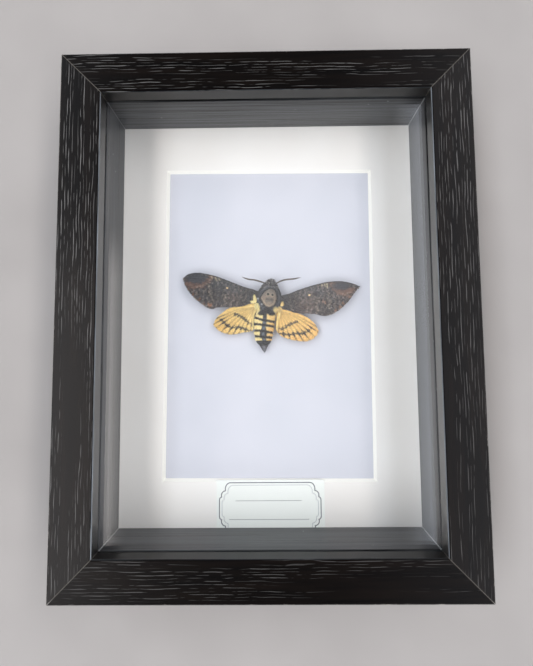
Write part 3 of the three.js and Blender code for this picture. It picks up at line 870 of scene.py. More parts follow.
forewing_marks = {
    "forewing_left": {
        "warmth": 0.5,
        "oval": ((-34.0, 20.0), (4.3, 2.1)),
        "rust_band": [(-26.2, 21.6), (-28.2, 19.0), (-31.0, 16.9), (-35.0, 16.5), (-38.4, 17.4)],
        "brown_field": ((-15.6, 10.2), (4.6, 3.0)),
        "dark_field": ((-24.0, 14.5), (4.6, 4.2)),
        "pale_bars": [
            [(-9.9, 15.0), (-10.6, 13.2), (-10.1, 11.6), (-11.2, 9.9), (-10.8, 8.2)],
            [(-12.2, 15.6), (-12.7, 13.8), (-12.0, 12.2), (-13.2, 10.6)],
            [(-19.9, 12.4), (-20.7, 10.6), (-19.8, 9.1), (-20.6, 7.4)],
            [(-28.9, 17.6), (-27.4, 15.6), (-28.2, 13.4), (-26.4, 11.3), (-26.8, 9.2)],
        ],
        "streaks": [
            [(-26.9, 21.4), (-26.5, 20.2)], [(-24.9, 20.7), (-24.2, 19.0)], [(-23.2, 20.3), (-22.9, 19.4)],
        ],
        "rust_spots": [((-27.6, 7.5), 1.0), ((-32.6, 9.9), 0.6), ((-35.6, 12.5), 0.6), ((-37.8, 15.2), 0.5),
                       ((-30.2, 8.2), 0.5)],
        "speck": (-19.3, 15.5),
    },
    "forewing_right": {
        "warmth": 0.75,
        "oval": ((34.6, 15.9), (4.0, 1.8)),
        "rust_band": [(30.2, 17.6), (31.2, 15.4), (33.4, 13.2), (36.4, 12.4), (39.6, 13.6)],
        "brown_field": ((18.4, 7.0), (6.2, 3.4)),
        "dark_field": ((26.6, 5.6), (3.6, 3.2)),
        "pale_bars": [
            [(10.0, 11.6), (10.6, 9.8), (10.2, 8.2), (11.3, 6.4), (11.4, 4.8)],
            [(12.6, 12.9), (13.1, 11.0), (12.4, 9.3), (13.6, 7.6)],
            [(22.4, 11.2), (23.6, 9.4), (22.7, 7.6), (23.8, 5.4), (23.3, 3.4)],
            [(29.4, 12.6), (28.4, 10.8), (29.6, 8.6), (28.6, 6.6), (29.8, 4.6)],
        ],
        "streaks": [[(27.0, 17.3), (27.3, 16.0)], [(28.2, 16.9), (28.4, 15.0)], [(25.6, 16.9), (25.8, 16.0)]],
        "rust_spots": [((26.8, 8.1), 0.55), ((31.8, 4.4), 0.6), ((36.0, 8.0), 0.6), ((38.4, 10.6), 0.6),
                       ((33.8, 6.0), 0.5)],
        "speck": (19.6, 11.7),
    },
}
forewing_stems = [
    [(0, 0.18), (0.2, 0.14), (0.45, 0.12), (0.7, 0.08), (0.92, 0.05)],
    [(0, 0.4), (0.2, 0.34), (0.42, 0.26)],
    [(0, 0.6), (0.2, 0.62), (0.4, 0.58)],
    [(0, 0.8), (0.2, 0.84), (0.42, 0.9)],
]
forewing_branches = [
    [(0.42, 0.26), (0.7, 0.22), (0.96, 0.3)],
    [(0.43, 0.3), (0.7, 0.36), (0.9, 0.99)],
    [(0.43, 0.38), (0.68, 0.55), (0.81, 0.99)],
    [(0.42, 0.45), (0.6, 0.66), (0.72, 0.99)],
    [(0.41, 0.52), (0.54, 0.78), (0.64, 0.99)],
    [(0.4, 0.58), (0.48, 0.84), (0.56, 0.99)],
]


def waves(count):
    """Full turns of a sine, in radians."""
    return count * 2 * math.pi


def forewing_pigment(grid, marks, veins, seed):
    """Rippled charcoal and brown with the wing's own marks, in places seen from above."""
    places = grid.places
    s, c = grid.span, grid.chord
    warmth = marks["warmth"]
    sizes = (6.5, 2.3, 1.1, 0.75, 2.8)
    mottle, fine, grain, salt, blotch = (wobble(places, size, seed + i) for i, size in enumerate(sizes))
    bent = places + 0.55 * np.column_stack([fine, grain])
    past_base = soft_step(0.1, 0.2, s)
    ripple = np.sin(waves(s * 38 / 2.1) + 1.5 * mottle + 1.1 * np.sin(waves(c * 13 / 4.6) + 9 * s))
    band = line_distance(bent, marks["rust_band"])
    slate = blot(bent, *marks["oval"], 0.3)
    stripes = np.sin(waves((places[:, 1] - marks["oval"][0][1]) / 0.95) + 0.8 * fine)
    colour = painted(
        np.tile(linear(FORE_CHARCOAL), (len(places), 1)),
        (FORE_SLATE, 0.35 + 0.35 * fine),
        (FORE_BROWN, past_base * warmth * (0.55 + 0.4 * mottle)),
        (FORE_BROWN, 0.9 * blot(bent, *marks["brown_field"], 0.5)),
        (FORE_RUST, warmth * 0.45 * blot(bent, *marks["brown_field"], 0.8) * soft_step(0, 1, grain)),
        (FORE_BLACK, 0.55 * blot(bent, *marks["dark_field"], 0.6)),
        (FORE_BLACK, 0.65 * soft_step(0.2, 0.9, ripple) * (0.6 + 0.5 * fine) * past_base),
        (FORE_BUFF, 0.5 * soft_step(0.5, 1.0, -ripple) * soft_step(-0.4, 0.7, grain) * past_base),
        (FORE_GREY, 0.35 * soft_step(0.35, 0.9, salt)),
        (FORE_BLACK, 0.5 * soft_step(0.35, 0.9, -salt)),
        (FORE_BLACK, 0.45 * soft_step(0.15, 0.7, blotch)),
        (FORE_GREY, 0.16 * soft_step(0.25, 0.8, -blotch)),
        (FORE_STEEL, 0.45 * (1 - warmth) * (1 - soft_step(0.2, 0.6, c)) * past_base),
        (FORE_RUST, 0.8 * (1 - soft_step(0.7, 1.8, band))),
        (FORE_BUFF, 0.45 * (1 - soft_step(0.2, 0.7, band)) * soft_step(0, 0.8, grain)),
        (FORE_BLACK, 0.6 * blot(bent, *marks["oval"], 0.55)),
        (FORE_SLATE, 0.8 * slate),
        (FORE_BLACK, 0.35 * slate * soft_step(0, 0.8, stripes)),
    )
    for bar in marks["pale_bars"]:
        near = line_distance(bent, smooth_line(bar, 24))
        colour = painted(
            colour,
            (FORE_BLACK, 0.6 * peak(near - 0.62, 0.3)),
            (FORE_BUFF, 0.6 * peak(near, 0.27) * (0.65 + 0.5 * grain)),
        )
    for streak in marks["streaks"]:
        colour = painted(colour, (FORE_STREAK, 0.85 * peak(line_distance(places, streak), 0.26)))
    for middle, size in marks["rust_spots"]:
        colour = painted(colour, (FORE_SPOT, 0.85 * blot(bent, middle, (size, size * 0.8), 0.45)))
    margin = soft_step(0.95, 0.985, c) + soft_step(0.985, 0.995, s)
    checks = soft_step(0.1, 0.6, np.sin(waves((places[:, 0] + places[:, 1] * 0.6) / 1.9)))
    return painted(
        colour,
        (FORE_BUFF, 0.5 * margin * checks * soft_step(0.5, 0.56, s)),
        (FORE_BLACK, 0.6 * (1 - soft_step(0.015, 0.06, c)) * past_base),
        (FORE_BLACK, 0.35 * vein_field(places, veins, 0.16)),
        (FORE_BLACK, 0.55 * (1 - soft_step(0.15, 0.34, s))),
        (FORE_CREAM, blot(places, marks["speck"], (0.46, 0.34), 0.35)),
    )


for name, (front, rear) in forewing_edges.items():
    grid = WingGrid(front, rear)
    veins = veins_of(grid, forewing_stems + forewing_branches)
    ridge = vein_field(grid.places, veins, 0.28)
    slope = 0.7 * grid.span - 0.5 * grid.chord * (1 - 0.5 * grid.span)
    height = FOREWING_RISE + slope + 0.09 * ridge - 0.05
    pigment = forewing_pigment(grid, forewing_marks[name], veins, 11 if name.endswith("left") else 23)
    wing = wing_mesh(name + "_membrane", grid, height, pigment, forewing_scales)
    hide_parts(name)
    scattered(name + "_scales", wing, scale_scatter, forewing_scales,
              seed=3, density=36, length=0.4, width=0.19, lift=0.14, scatter=0.16)


# Hindwings
# Short and round, straw yellow turning to orange at the rim, with two black bars across and
# dark rays along the veins to the edge. They lie under the forewings.
HINDWING_RISE = 4.25
HIND_YELLOW = "#E7C379"
HIND_STRAW = "#F8E29C"
HIND_ORANGE = "#E5B16C"
HIND_BLACK = "#2B282F"
HIND_VEIN = "#9C7648"
hindwing_edges = {
    "hindwing_left": (
        [(-4.6, 7.6), (-6.4, 8), (-9, 7.9), (-12, 6.9), (-17.8, 6.2), (-21, 4.4), (-23.8, 2.2),
         (-25.3, 0.3), (-26, -1.4)],
        [(-4.6, 5.4), (-6.2, 3.6), (-6.9, 0), (-7.1, -4), (-9, -5.1), (-12.1, -5.6), (-14.9, -6.1),
         (-17.4, -6.4), (-19.8, -6.1), (-23, -5), (-25.3, -3), (-25.9, -2)],
    ),
    "hindwing_right": (
        [(3.9, 5.3), (6.5, 5.1), (11.5, 4.1), (15.5, 2.7), (19.5, 0.6), (22.4, -2), (23.9, -4.9)],
        [(3.4, 4.3), (4.2, 2.6), (4.1, -0.5), (4, -4.5), (6, -7.2), (9.4, -8.7), (13.4, -9.6), (17.4, -10),
         (20.7, -9.2), (23, -7.4), (23.9, -5.6)],
    ),
}
hindwing_marks = {
    "hindwing_left": {
        "warmth": 0.1,
        "inner": [(-15.6, 2.9), (-13.5, 2.2), (-11.4, 1.0), (-9.9, -0.5), (-7.9, -1.8)],
        "outer": [(-22.3, 0.6), (-21.2, -0.7), (-19.6, -2.1), (-18, -3.1), (-16, -3.2), (-13.6, -3.1),
                  (-11.4, -3.9), (-9.2, -4.5)],
        "root": (-6.2, 6.4),
        "ends": [(-8.2, -4.8), (-11, -5.5), (-13.9, -6), (-16.8, -6.4), (-19.6, -6.1), (-22.4, -5.2),
                 (-24.8, -3.4), (-25.9, -1.6), (-24.6, 1.2)],
        "body_edge": [(-5.9, 5), (-6.8, 0), (-7.2, -3.6)],
    },
    "hindwing_right": {
        "warmth": 0.75,
        "inner": [(5.2, -3.6), (6.4, -4.1), (8.8, -2.8), (11, -1.7), (13.6, -0.8)],
        "outer": [(5.8, -6), (8, -6.6), (10.7, -6.8), (13, -6.3), (15.4, -6.5), (17.4, -6.1), (20.1, -4.2)],
        "root": (5.4, 4.3),
        "ends": [(4.9, -6.1), (7.6, -8), (10.5, -9.1), (13.6, -9.7), (16.8, -10), (19.8, -9.5), (22.2, -8.2),
                 (23.8, -6), (23.2, -3.2)],
        "body_edge": [(5.3, 3.6), (4.3, -0.5), (4.1, -4)],
    },
}


def hindwing_veins(marks):
    """Veins that fan out from the root to the rim."""
    root = np.array(marks["root"])
    fan = []
    for end in marks["ends"]:
        sag = 0.06 * np.linalg.norm(np.array(end) - root)
        middle = root + (np.array(end) - root) * 0.45 + (0, sag)
        fan.append(smooth_line([root, middle, end], 8))
    return fan


def hindwing_pigment(grid, marks, nearest, seed):
    """Yellow with two black bars, darker along the outer veins, in places seen from above."""
    places = grid.places
    warmth = marks["warmth"]
    mottle, fine, bend = (wobble(places, size, seed + i) for i, size in enumerate((4.5, 1.3, 1.7)))
    reach = np.linalg.norm(places - np.array(marks["root"]), axis=1)
    dusting = soft_step(5, 13, reach) * (0.75 + 0.5 * fine)
    bent = places + 0.22 * np.column_stack([fine, bend])
    inner = line_distance(bent, smooth_line(marks["inner"], 16))
    outer = line_distance(bent, smooth_line(marks["outer"], 24))
    inner_half = 0.3 + 0.16 * fine + 0.26 * peak(nearest, 0.45)
    outer_half = 0.19 + 0.68 * peak(nearest, 0.42) + 0.24 * fine
    ray = peak(nearest, 0.25) * (1 - soft_step(1.5, 3.8, outer))
    outside = reach > np.median(reach[outer < 0.6]) - 0.6
    rim = line_distance(places, marks["ends"])
    body_edge = line_distance(places, marks["body_edge"])
    return painted(
        np.tile(linear(HIND_YELLOW), (len(places), 1)),
        (HIND_STRAW, (1 - warmth) * (0.5 + 0.3 * mottle)),
        (HIND_ORANGE, 0.65 * warmth + 0.3 * soft_step(9, 20, reach) + 0.12 * mottle),
        (HIND_VEIN, 0.55 * peak(nearest, 0.21)),
        (HIND_VEIN, 0.26 * dusting * peak(nearest, 0.6)),
        (HIND_BLACK, 0.86 * (1 - soft_step(inner_half, inner_half + 0.4, inner))),
        (HIND_BLACK, 0.93 * (1 - soft_step(outer_half, outer_half + 0.42, outer))),
        (HIND_BLACK, 0.8 * ray * outside),
        (HIND_BLACK, 0.55 * peak(rim, 0.4) * peak(nearest, 0.45)),
        (HIND_STRAW, 0.8 * peak(body_edge, 0.6)),
        (HIND_VEIN, 0.5 * peak(body_edge - 1.15, 0.25)),
    )


for name, (front, rear) in hindwing_edges.items():
    grid = WingGrid(front, rear)
    marks = hindwing_marks[name]
    nearest = np.minimum.reduce([line_distance(grid.places, vein) for vein in hindwing_veins(marks)])
    height = HINDWING_RISE - 0.5 * grid.chord + 0.12 * peak(nearest, 0.4) - 0.06
    pigment = hindwing_pigment(grid, marks, nearest, 31 if name.endswith("left") else 47)
    wing = wing_mesh(name + "_membrane", grid, height, pigment, hindwing_scales)
    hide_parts(name)
    scattered(name + "_scales", wing, scale_scatter, hindwing_scales,
              seed=5, density=32, length=0.42, width=0.2, lift=0.14, scatter=0.16)


# Body
# Head, thorax and abdomen grew as one piece. A hood of grey-blue fur with a pale brown patch
# covers the thorax, black tufts its waist, and the abdomen is ringed in yellow and black.
BODY_FLATNESS = 0.84
BODY_ROUND = 120
BODY_LONG = 300
body_line = [
    # along, middle across, half width, middle above the card
    (-15.9, -1.8, 0.02, 2.6), (-13.8, -1.9, 1.1, 2.8), (-11.4, -2.1, 2.4, 3.1), (-9.9, -2.2, 3.6, 3.4),
    (-6.6, -2.1, 4.4, 3.8), (-3.2, -1.9, 4.7, 4.0), (1, -1.5, 4.8, 4.1), (3.8, -0.8, 4.4, 4.3),
    (6.3, 0.3, 5.1, 4.5), (10.5, 0.6, 5.4, 4.7), (14, 0.7, 5.2, 4.6), (16, 0.9, 4.2, 4.5),
    (17, 1.2, 2.9, 4.5), (18.4, 1.5, 2.5, 4.4), (19.4, 1.7, 1.2, 4.2), (19.7, 1.8, 0.02, 4.1),
]
FUR_DEPTH = 0.55
ABDOMEN_FUR_DEPTH = 0.22
patch_outline = [
    (1.0, 14.6), (-1.2, 13.3), (-2.5, 11.6), (-3.2, 10.5), (-2.5, 9.1), (-1.7, 7.5), (0.2, 6.1),
    (2.4, 6.7), (3.5, 8.3), (4.0, 10.5), (3.6, 12.7), (2.7, 14.2),
]
# Each black ring of the abdomen, as its place along the body at four places across
RING_ACROSS = (-5.9, -2.5, -0.2, 3.2)
abdomen_rings = [
    (1.4, 0.0, -0.4, -0.8), (-1.7, -2.3, -2.6, -3.1), (-4.8, -5.1, -5.6, -6.2), (-7.5, -8.0, -8.1, -8.5),
]
REAR_BAND = (-9.8, -11.6)
# Lumps of longer fur, as middle, size and lift: the waist first, then the shoulders and the head
WAIST_KNOTS = 3
knots = [
    ((-2.7, 3.6), 1.5, 0.55), ((-0.4, 4.9), 1.4, 0.5), ((1.5, 3.4), 1.5, 0.5), ((-3.2, 12.6), 1.8, 0.25),
    ((4.3, 12.2), 1.7, 0.25), ((1.0, 16.9), 1.6, 0.45), ((2.6, 18.0), 1.1, 0.35), ((3.3, 16.3), 1.3, 0.4),
    ((-0.9, 16.1), 1.3, 0.4),
]
FUR_SLATE = "#606169"
FUR_DARK = "#38373C"
FUR_HEAD = "#66626A"
FUR_BLACK = "#1B1A1E"
FUR_YELLOW = "#FFECB2"
FUR_AMBER = "#FFDA93"
FUR_BLUE = "#79818D"
PATCH_TAUPE = "#9C887A"
PATCH_GREY = "#7C736D"
PATCH_RIM = "#BBA68E"
PATCH_PALE = "#CDBFAA"
PATCH_HOLLOW = "#4C4743"
PATCH_SPOT = "#0C0B0D"
HEAD_PALE = "#B5AFAC"
TAIL_GREY = "#8B8A93"
WAIST_HIGHLIGHT = "#55534E"

body_rows = smooth_line(body_line, BODY_LONG)
row_y, middle_x, full_half, middle_z = (body_rows[:, i][:, None] for i in range(4))
angles = np.linspace(0, 2 * math.pi, BODY_ROUND, endpoint=False)[None, :]
fur_depth = ABDOMEN_FUR_DEPTH + (FUR_DEPTH - ABDOMEN_FUR_DEPTH) * soft_step(3.0, 6.0, row_y)
half_width = np.maximum(full_half - fur_depth, 0.04 * full_half + 0.01)


def body_middle(y):
    """Where the body's middle line lies across, at a place along it."""
    return np.interp(y, body_rows[:, 0], body_rows[:, 1])


def ring_places(x):
    """Where each black ring of the abdomen lies along the body, at places across it."""
    return [np.interp(x, RING_ACROSS, ring) for ring in abdomen_rings]


def outline_distance(places, outline):
    """Distance from a closed outline, negative inside it."""
    corners = np.array(outline + outline[:1], float)
    distance = line_distance(places, corners)
    inside = np.zeros(len(places), bool)
    x, y = places.T
    for (x1, y1), (x2, y2) in zip(corners, corners[1:]):
        crosses = (y1 > y) != (y2 > y)
        inside ^= crosses & (x < (x2 - x1) * (y - y1) / (y2 - y1 + 1e-12) + x1)
    return np.where(inside, -distance, distance)


patch_line = smooth_line(patch_outline + patch_outline[:1], 72)[:-1].tolist()
flat_x = (middle_x + half_width * np.cos(angles)).ravel()
flat_y = (row_y + 0 * angles).ravel()
flat_places = np.column_stack([flat_x, flat_y])
hood_reach = outline_distance(flat_places, patch_line)
on_thorax = soft_step(5.0, 6.2, flat_y) * (1 - soft_step(15.4, 16.4, flat_y))
relief = on_thorax * (0.32 * peak(hood_reach - 1.25, 0.5) - 0.3 * peak(hood_reach - 0.3, 0.28))
ring_gap = np.minimum.reduce([np.abs(flat_y - place) for place in ring_places(flat_x)])
on_abdomen = soft_step(3.2, 2.2, flat_y) * soft_step(-11.6, -10.4, flat_y)
relief -= 0.26 * on_abdomen * peak(ring_gap, 0.45)
for (x, y), size, lift in knots:
    relief += lift * np.exp(-2 * ((flat_x - x) ** 2 + (flat_y - y) ** 2) / size**2)
relief += 0.1 * wobble(flat_places, 1.5, 61)
grown = half_width + relief.reshape(half_width.shape[0], BODY_ROUND) * (half_width > 0.5)
body_x = middle_x + grown * np.cos(angles)
body_z = np.maximum(belly + middle_z + grown * BODY_FLATNESS * np.sin(angles), belly + 0.02)
body_points = np.stack([body_x, row_y + 0 * angles, body_z], axis=2).reshape(-1, 3)
body_faces = []
for i in range(BODY_LONG - 1):
    here = i * BODY_ROUND
    above = here + BODY_ROUND
    for j in range(BODY_ROUND):
        k = (j + 1) % BODY_ROUND
        body_faces.append((here + j, here + k, above + k, above + j))
body_faces.append(tuple(range(BODY_ROUND))[::-1])
body_faces.append(tuple((BODY_LONG - 1) * BODY_ROUND + j for j in range(BODY_ROUND)))


def patch_pigment(colour, places, ring):
    """The pale brown patch of the thorax: a rim, a grey field and two black spots."""
    y = places[:, 1]
    patch = 1 - soft_step(-0.12, 0.18, ring)
    rough = wobble(places, 0.9, 73)
    rim = peak(ring + 0.55, 0.3) * soft_step(11.0, 8.5, y)
    hollows = [blot(places, middle, (0.75, 0.5), 0.5) for middle in ((-0.1, 9.7), (1.7, 9.5))]
    colour = painted(
        colour,
        (PATCH_TAUPE, patch),
        (PATCH_GREY, patch * 0.6 * soft_step(0.0, 0.7, rough)),
        (PATCH_RIM, 0.85 * patch * rim),
        (PATCH_GREY, 0.8 * patch * blot(places, (0.8, 9.1), (2.0, 1.55), 0.3)),
        (PATCH_GREY, 0.8 * patch * soft_step(10.6, 13.2, y)),
        *[(PATCH_HOLLOW, 0.7 * patch * hollow) for hollow in hollows],
        (PATCH_RIM, 0.35 * patch * blot(places, (0.7, 8.0), (1.0, 0.5), 0.5)),
    )
    for middle, size in (((0.2, 12.1), 0.56), ((2.3, 11.8), 0.5)):
        reach = np.linalg.norm(places - np.array(middle), axis=1)
        colour = painted(
            colour,
            (PATCH_PALE, 0.4 * (1 - soft_step(size + 0.2, size + 0.6, reach))),
            (PATCH_SPOT, 1 - soft_step(size - 0.05, size + 0.2, reach)),
        )
    return colour


def abdomen_pigment(colour, places, abdomen, rough):
    """Yellow to amber, a dark back stripe with blue glints, black rings, a grey tail, and a
    highlight painted across the black rear band.
    """
    x, y = places.T
    yellow = painted(
        np.tile(linear(FUR_YELLOW), (len(places), 1)),
        (FUR_AMBER, soft_step(-2.5, 1.5, x) * (1 - 0.5 * soft_step(-4.5, 0.5, y)) + 0.2 * rough),
    )
    colour = colour * (1 - abdomen[:, None]) + yellow * abdomen[:, None]
    stripe_middle = np.interp(y, (-9, -7, -4.5, 0, 3), (-1.9, -2.3, -2.1, -1.5, -1.4))
    stripe_half = np.interp(y, (-9, -7, -5.6, -3.5, 3), (0.8, 1.5, 1.5, 0.8, 0.8))
    across = np.abs(x - stripe_middle) + 0.12 * rough
    ring_gap = np.minimum.reduce([np.abs(y - place + 0.1 * rough) for place in ring_places(x)])
    glint = (1 - soft_step(0.3, 0.95, across)) * soft_step(0.3, 0.9, ring_gap) * soft_step(1.2, 0.2, y)
    front, rear = REAR_BAND
    rear_band = soft_step(front + 0.3, front - 0.1, y) * soft_step(rear - 0.3, rear, y)
    tail = soft_step(rear + 0.1, rear - 0.3, y)
    half_here = np.maximum(np.interp(y, body_rows[:, 0], body_rows[:, 2]), 0.2)
    tail_edge = np.abs(x - body_middle(y)) / half_here
    return painted(
        colour,
        (FUR_DARK, abdomen * (1 - soft_step(stripe_half - 0.15, stripe_half + 0.4, across))),
        (FUR_BLUE, abdomen * 0.85 * glint),
        (FUR_BLACK, soft_step(3.4, 2.6, y) * (1 - soft_step(0.42, 0.74, ring_gap))),
        (FUR_BLACK, rear_band),
        # A pale line painted across the middle of the black rear band, as a highlight
        (FUR_BLUE, 0.2 * rear_band * peak(y + 10.7, 0.28)),
        (TAIL_GREY, tail * (0.8 + 0.25 * rough)),
        (FUR_BLACK, 0.9 * tail * soft_step(0.35, 0.8, tail_edge)),
        (FUR_BLACK, 0.8 * tail * peak(y + 12.0, 0.3)),
    )


def body_pigment(places):
    """The pattern of the whole body, set out as it looks from above."""
    x, y = places.T
    rough = wobble(places, 1.1, 71)
    broad = wobble(places, 2.6, 72)
    ring = outline_distance(places, patch_line) + 0.1 * rough
    thorax = soft_step(5.2, 6.0, y) * (1 - soft_step(15.6, 16.4, y))
    collar = peak(y - 14.9 + 0.12 * (x - 1) ** 2, 0.3) * (ring > 0.4)
    head = soft_step(15.2, 16.4, y)
    colour = painted(
        np.tile(linear(FUR_DARK), (len(places), 1)),
        (FUR_SLATE, 0.3 + 0.25 * broad + 0.2 * rough),
        (FUR_SLATE, thorax * 0.95 * peak(ring - 1.25, 0.45)),
        (FUR_BLACK, thorax * 0.9 * peak(ring - 0.35, 0.3)),
        (FUR_BLACK, thorax * 0.8 * peak(ring - 2.15, 0.35)),
        (FUR_BLACK, 0.6 * collar),
        (FUR_HEAD, head * (0.75 + 0.25 * rough)),
        (HEAD_PALE, head * 0.9 * soft_step(0.1, 0.6, rough)),
        (FUR_BLACK, head * 0.8 * soft_step(0.1, 0.6, broad - 0.4 * rough)),
    )
    colour = patch_pigment(colour, places, ring)
    abdomen = soft_step(3.7, 2.9, y + 0.3 * rough) * soft_step(-10.2, -9.6, y)
    colour = abdomen_pigment(colour, places, abdomen, rough)
    tufted = [blot(places, middle, (size, size * 0.8), 0.3) for middle, size, _ in knots[:WAIST_KNOTS]]
    waist = np.maximum.reduce(tufted)
    colour = painted(
        colour,
        *[(FUR_YELLOW, blot(places, middle, (1.4, 1.9), 0.3)) for middle in ((-4.7, 5.0), (3.7, 4.4))],
        (FUR_BLACK, waist),
        # Grey-brown patches painted on the black waist tufts, as highlights on the fur
        (WAIST_HIGHLIGHT, 0.6 * waist * soft_step(0.3, 1.0, rough)),
    )
    return colour, ring, abdomen, waist


body_material = scale_material("dry_moth_fur", 0.12, 0.45)
body = piece("moth_body_trunk", body_points, body_faces, body_material)
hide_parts("moth_body")
pigment, ring, abdomen, waist = body_pigment(body_points[:, :2])
x, y, z = body_points.T
head = soft_step(15.8, 17.0, y)
comb = np.column_stack([(x - body_middle(y)) * 0.14, 1.9 * head - 1.0, 0.1 + 0.2 * head])
hair_reach = (1 + 0.35 * soft_step(1.0, 2.2, ring)) * (1 - 0.5 * (1 - soft_step(-0.2, 0.5, ring)))
hair_reach *= (1 - 0.5 * abdomen) * (1 - 0.35 * head) * (1 - 0.6 * soft_step(-9.2, -9.8, y))
hair_reach += 0.35 * waist
store(body.data, "pigment", "FLOAT_COLOR", pigment)
store(body.data, "comb", "FLOAT_VECTOR", unit(comb))
store(body.data, "cover", "FLOAT", soft_step(belly + 1.4, belly + 2.8, z))
store(body.data, "reach", "FLOAT", hair_reach)
face_outward(body.data)
scattered("moth_body_fur", body, fur_scatter, body_material,
          seed=9, density=66, length=0.8, width=0.05, lift=0.3, scatter=0.22)


# Eyes, palps and legs
# Large dark eyes half sunk in the fur, two blunt furry palps in front of the head, and three
# pairs of thin legs folded out over the card under the wings.
EYE_BROWN = "#33271F"
EYE_BLACK = "#17110F"
LEG_DARK = "#2E2824"
LEG_BROWN = "#564A40"

eye_material, tree, shader = surface("dark_compound_eye", roughness=0.25, specular_ior_level=0.6)
facets = put(tree, "ShaderNodeTexVoronoi", {"Vector": millimetres(tree), "Scale": 9.0}, out="Distance")
eye_colour = put(tree, "ShaderNodeValToRGB", facets, stops=[(0.1, EYE_BROWN), (0.7, EYE_BLACK)])
feed(tree, shader, eye_colour, None, facets, relief=0.00003, strength=0.6)


def oval(middle, size, rows=18, columns=28):
    """A closed oval body's points and faces, size being its full width, length and height."""
    points = [(middle[0], middle[1], middle[2] - size[2] / 2)]
    for i in range(1, rows):
        polar = math.pi * i / rows
        for j in range(columns):
            turn = 2 * math.pi * j / columns
            points.append((
                middle[0] + size[0] / 2 * math.sin(polar) * math.cos(turn),
                middle[1] + size[1] / 2 * math.sin(polar) * math.sin(turn),
                middle[2] - size[2] / 2 * math.cos(polar),
            ))
    points.append((middle[0], middle[1], middle[2] + size[2] / 2))
    faces = [(0, 1 + (j + 1) % columns, 1 + j) for j in range(columns)]
    for i in range(rows - 2):
        for j in range(columns):
            a = 1 + i * columns + j
            b = 1 + i * columns + (j + 1) % columns
            faces.append((a, b, b + columns, a + columns))
    last = len(points) - 1
    faces += [(last, last - columns + j, last - columns + (j + 1) % columns) for j in range(columns)]
    return points, faces


def joined(parts):
    """Several point and face lists as one."""
    points = []
    faces = []
    for more_points, more_faces in parts:
        start = len(points)
        points += list(more_points)
        faces += [[start + i for i in face] for face in more_faces]
    return points, faces


def furred(name, points, faces, colour, comb, cover=1.0):
    """A small piece in body fur's colour, ready for hair that lies along the comb direction."""
    made = piece(name, points, faces, body_material)
    count = len(points)
    tint = 1 + 0.12 * wobble(np.array(points)[:, :2], 0.9, 83)[:, None]
    store(made.data, "pigment", "FLOAT_COLOR", np.tile(linear(colour), (count, 1)) * tint)
    store(made.data, "comb", "FLOAT_VECTOR", np.broadcast_to(np.array(comb, float), (count, 3)))
    store(made.data, "cover", "FLOAT", np.full(count, cover))
    return made


EYE_PLACES = ((-1.3, 16.8, 4.2), (3.7, 16.6, 4.2))
eye_points, eye_faces = joined([oval((x, y, belly + z), (2.3, 2.5, 2.6)) for x, y, z in EYE_PLACES])
piece("moth_eyes", eye_points, eye_faces, eye_material)

PALP_PLACES = ((0.8, 18.3, 3.9), (2.4, 18.3, 3.9))
palp_points, palp_faces = joined([oval((x, y, belly + z), (1.4, 2.4, 2.0)) for x, y, z in PALP_PLACES])
palps = furred("moth_palps", palp_points, palp_faces, FUR_HEAD, (0, 0.9, 0.3))
scattered("moth_palp_fur", palps, fur_scatter, body_material,
          seed=13, density=70, length=0.4, width=0.05, lift=0.4, scatter=0.25)


def limb(line, radius_at, steps, around):
    """A closed round limb along a smooth path, its radius a function of the share along it."""
    path = smooth_line(line, steps + 1)
    along = unit(np.gradient(path, axis=0))
    side = unit(np.cross(along, (0, 0, 1)))
    top = np.cross(side, along)
    turns = np.linspace(0, 2 * math.pi, around, endpoint=False)[None, :, None]
    radius = np.array([radius_at(i / steps) for i in range(steps + 1)])[:, None, None]
    ringed = side[:, None, :] * np.cos(turns) + top[:, None, :] * np.sin(turns)
    points = (path[:, None, :] + ringed * radius).reshape(-1, 3)
    faces = []
    for i in range(steps):
        for j in range(around):
            k = (j + 1) % around
            faces.append((i * around + j, (i + 1) * around + j, (i + 1) * around + k, i * around + k))
    faces.append(tuple(range(around)))
    faces.append(tuple(steps * around + j for j in range(around))[::-1])
    return points.tolist(), faces


chitin_material = mottled(
    "dark_brown_chitin", [(0.3, LEG_DARK), (0.7, LEG_BROWN)], {"stretch": (2, 2, 2), "detail": 4.0},
    relief=0.00004, roughness=0.45, specular_ior_level=0.45,
)

# Each pair's place along the body, its reach to the side and its sweep to the rear
leg_pairs = [(12, 7.5, -1.5), (9.5, 8.5, -3), (7, 8, -5.5)]
leg_parts = []
for y, reach, sweep in leg_pairs:
    middle = float(body_middle(y))
    for side in (-1, 1):
        line = [
            (middle + side * 2.2, y, belly + 1.6),
            (middle + side * reach * 0.6, y + sweep * 0.3, belly + 2.2),
            (middle + side * reach, y + sweep, belly + 0.5),
        ]
        leg_parts.append(limb(line, lambda t: 0.48 - 0.24 * t - 0.05 * math.cos(t * 24), 40, 12))
leg_points, leg_faces = joined(leg_parts)
piece("moth_legs", leg_points, leg_faces, chitin_material)


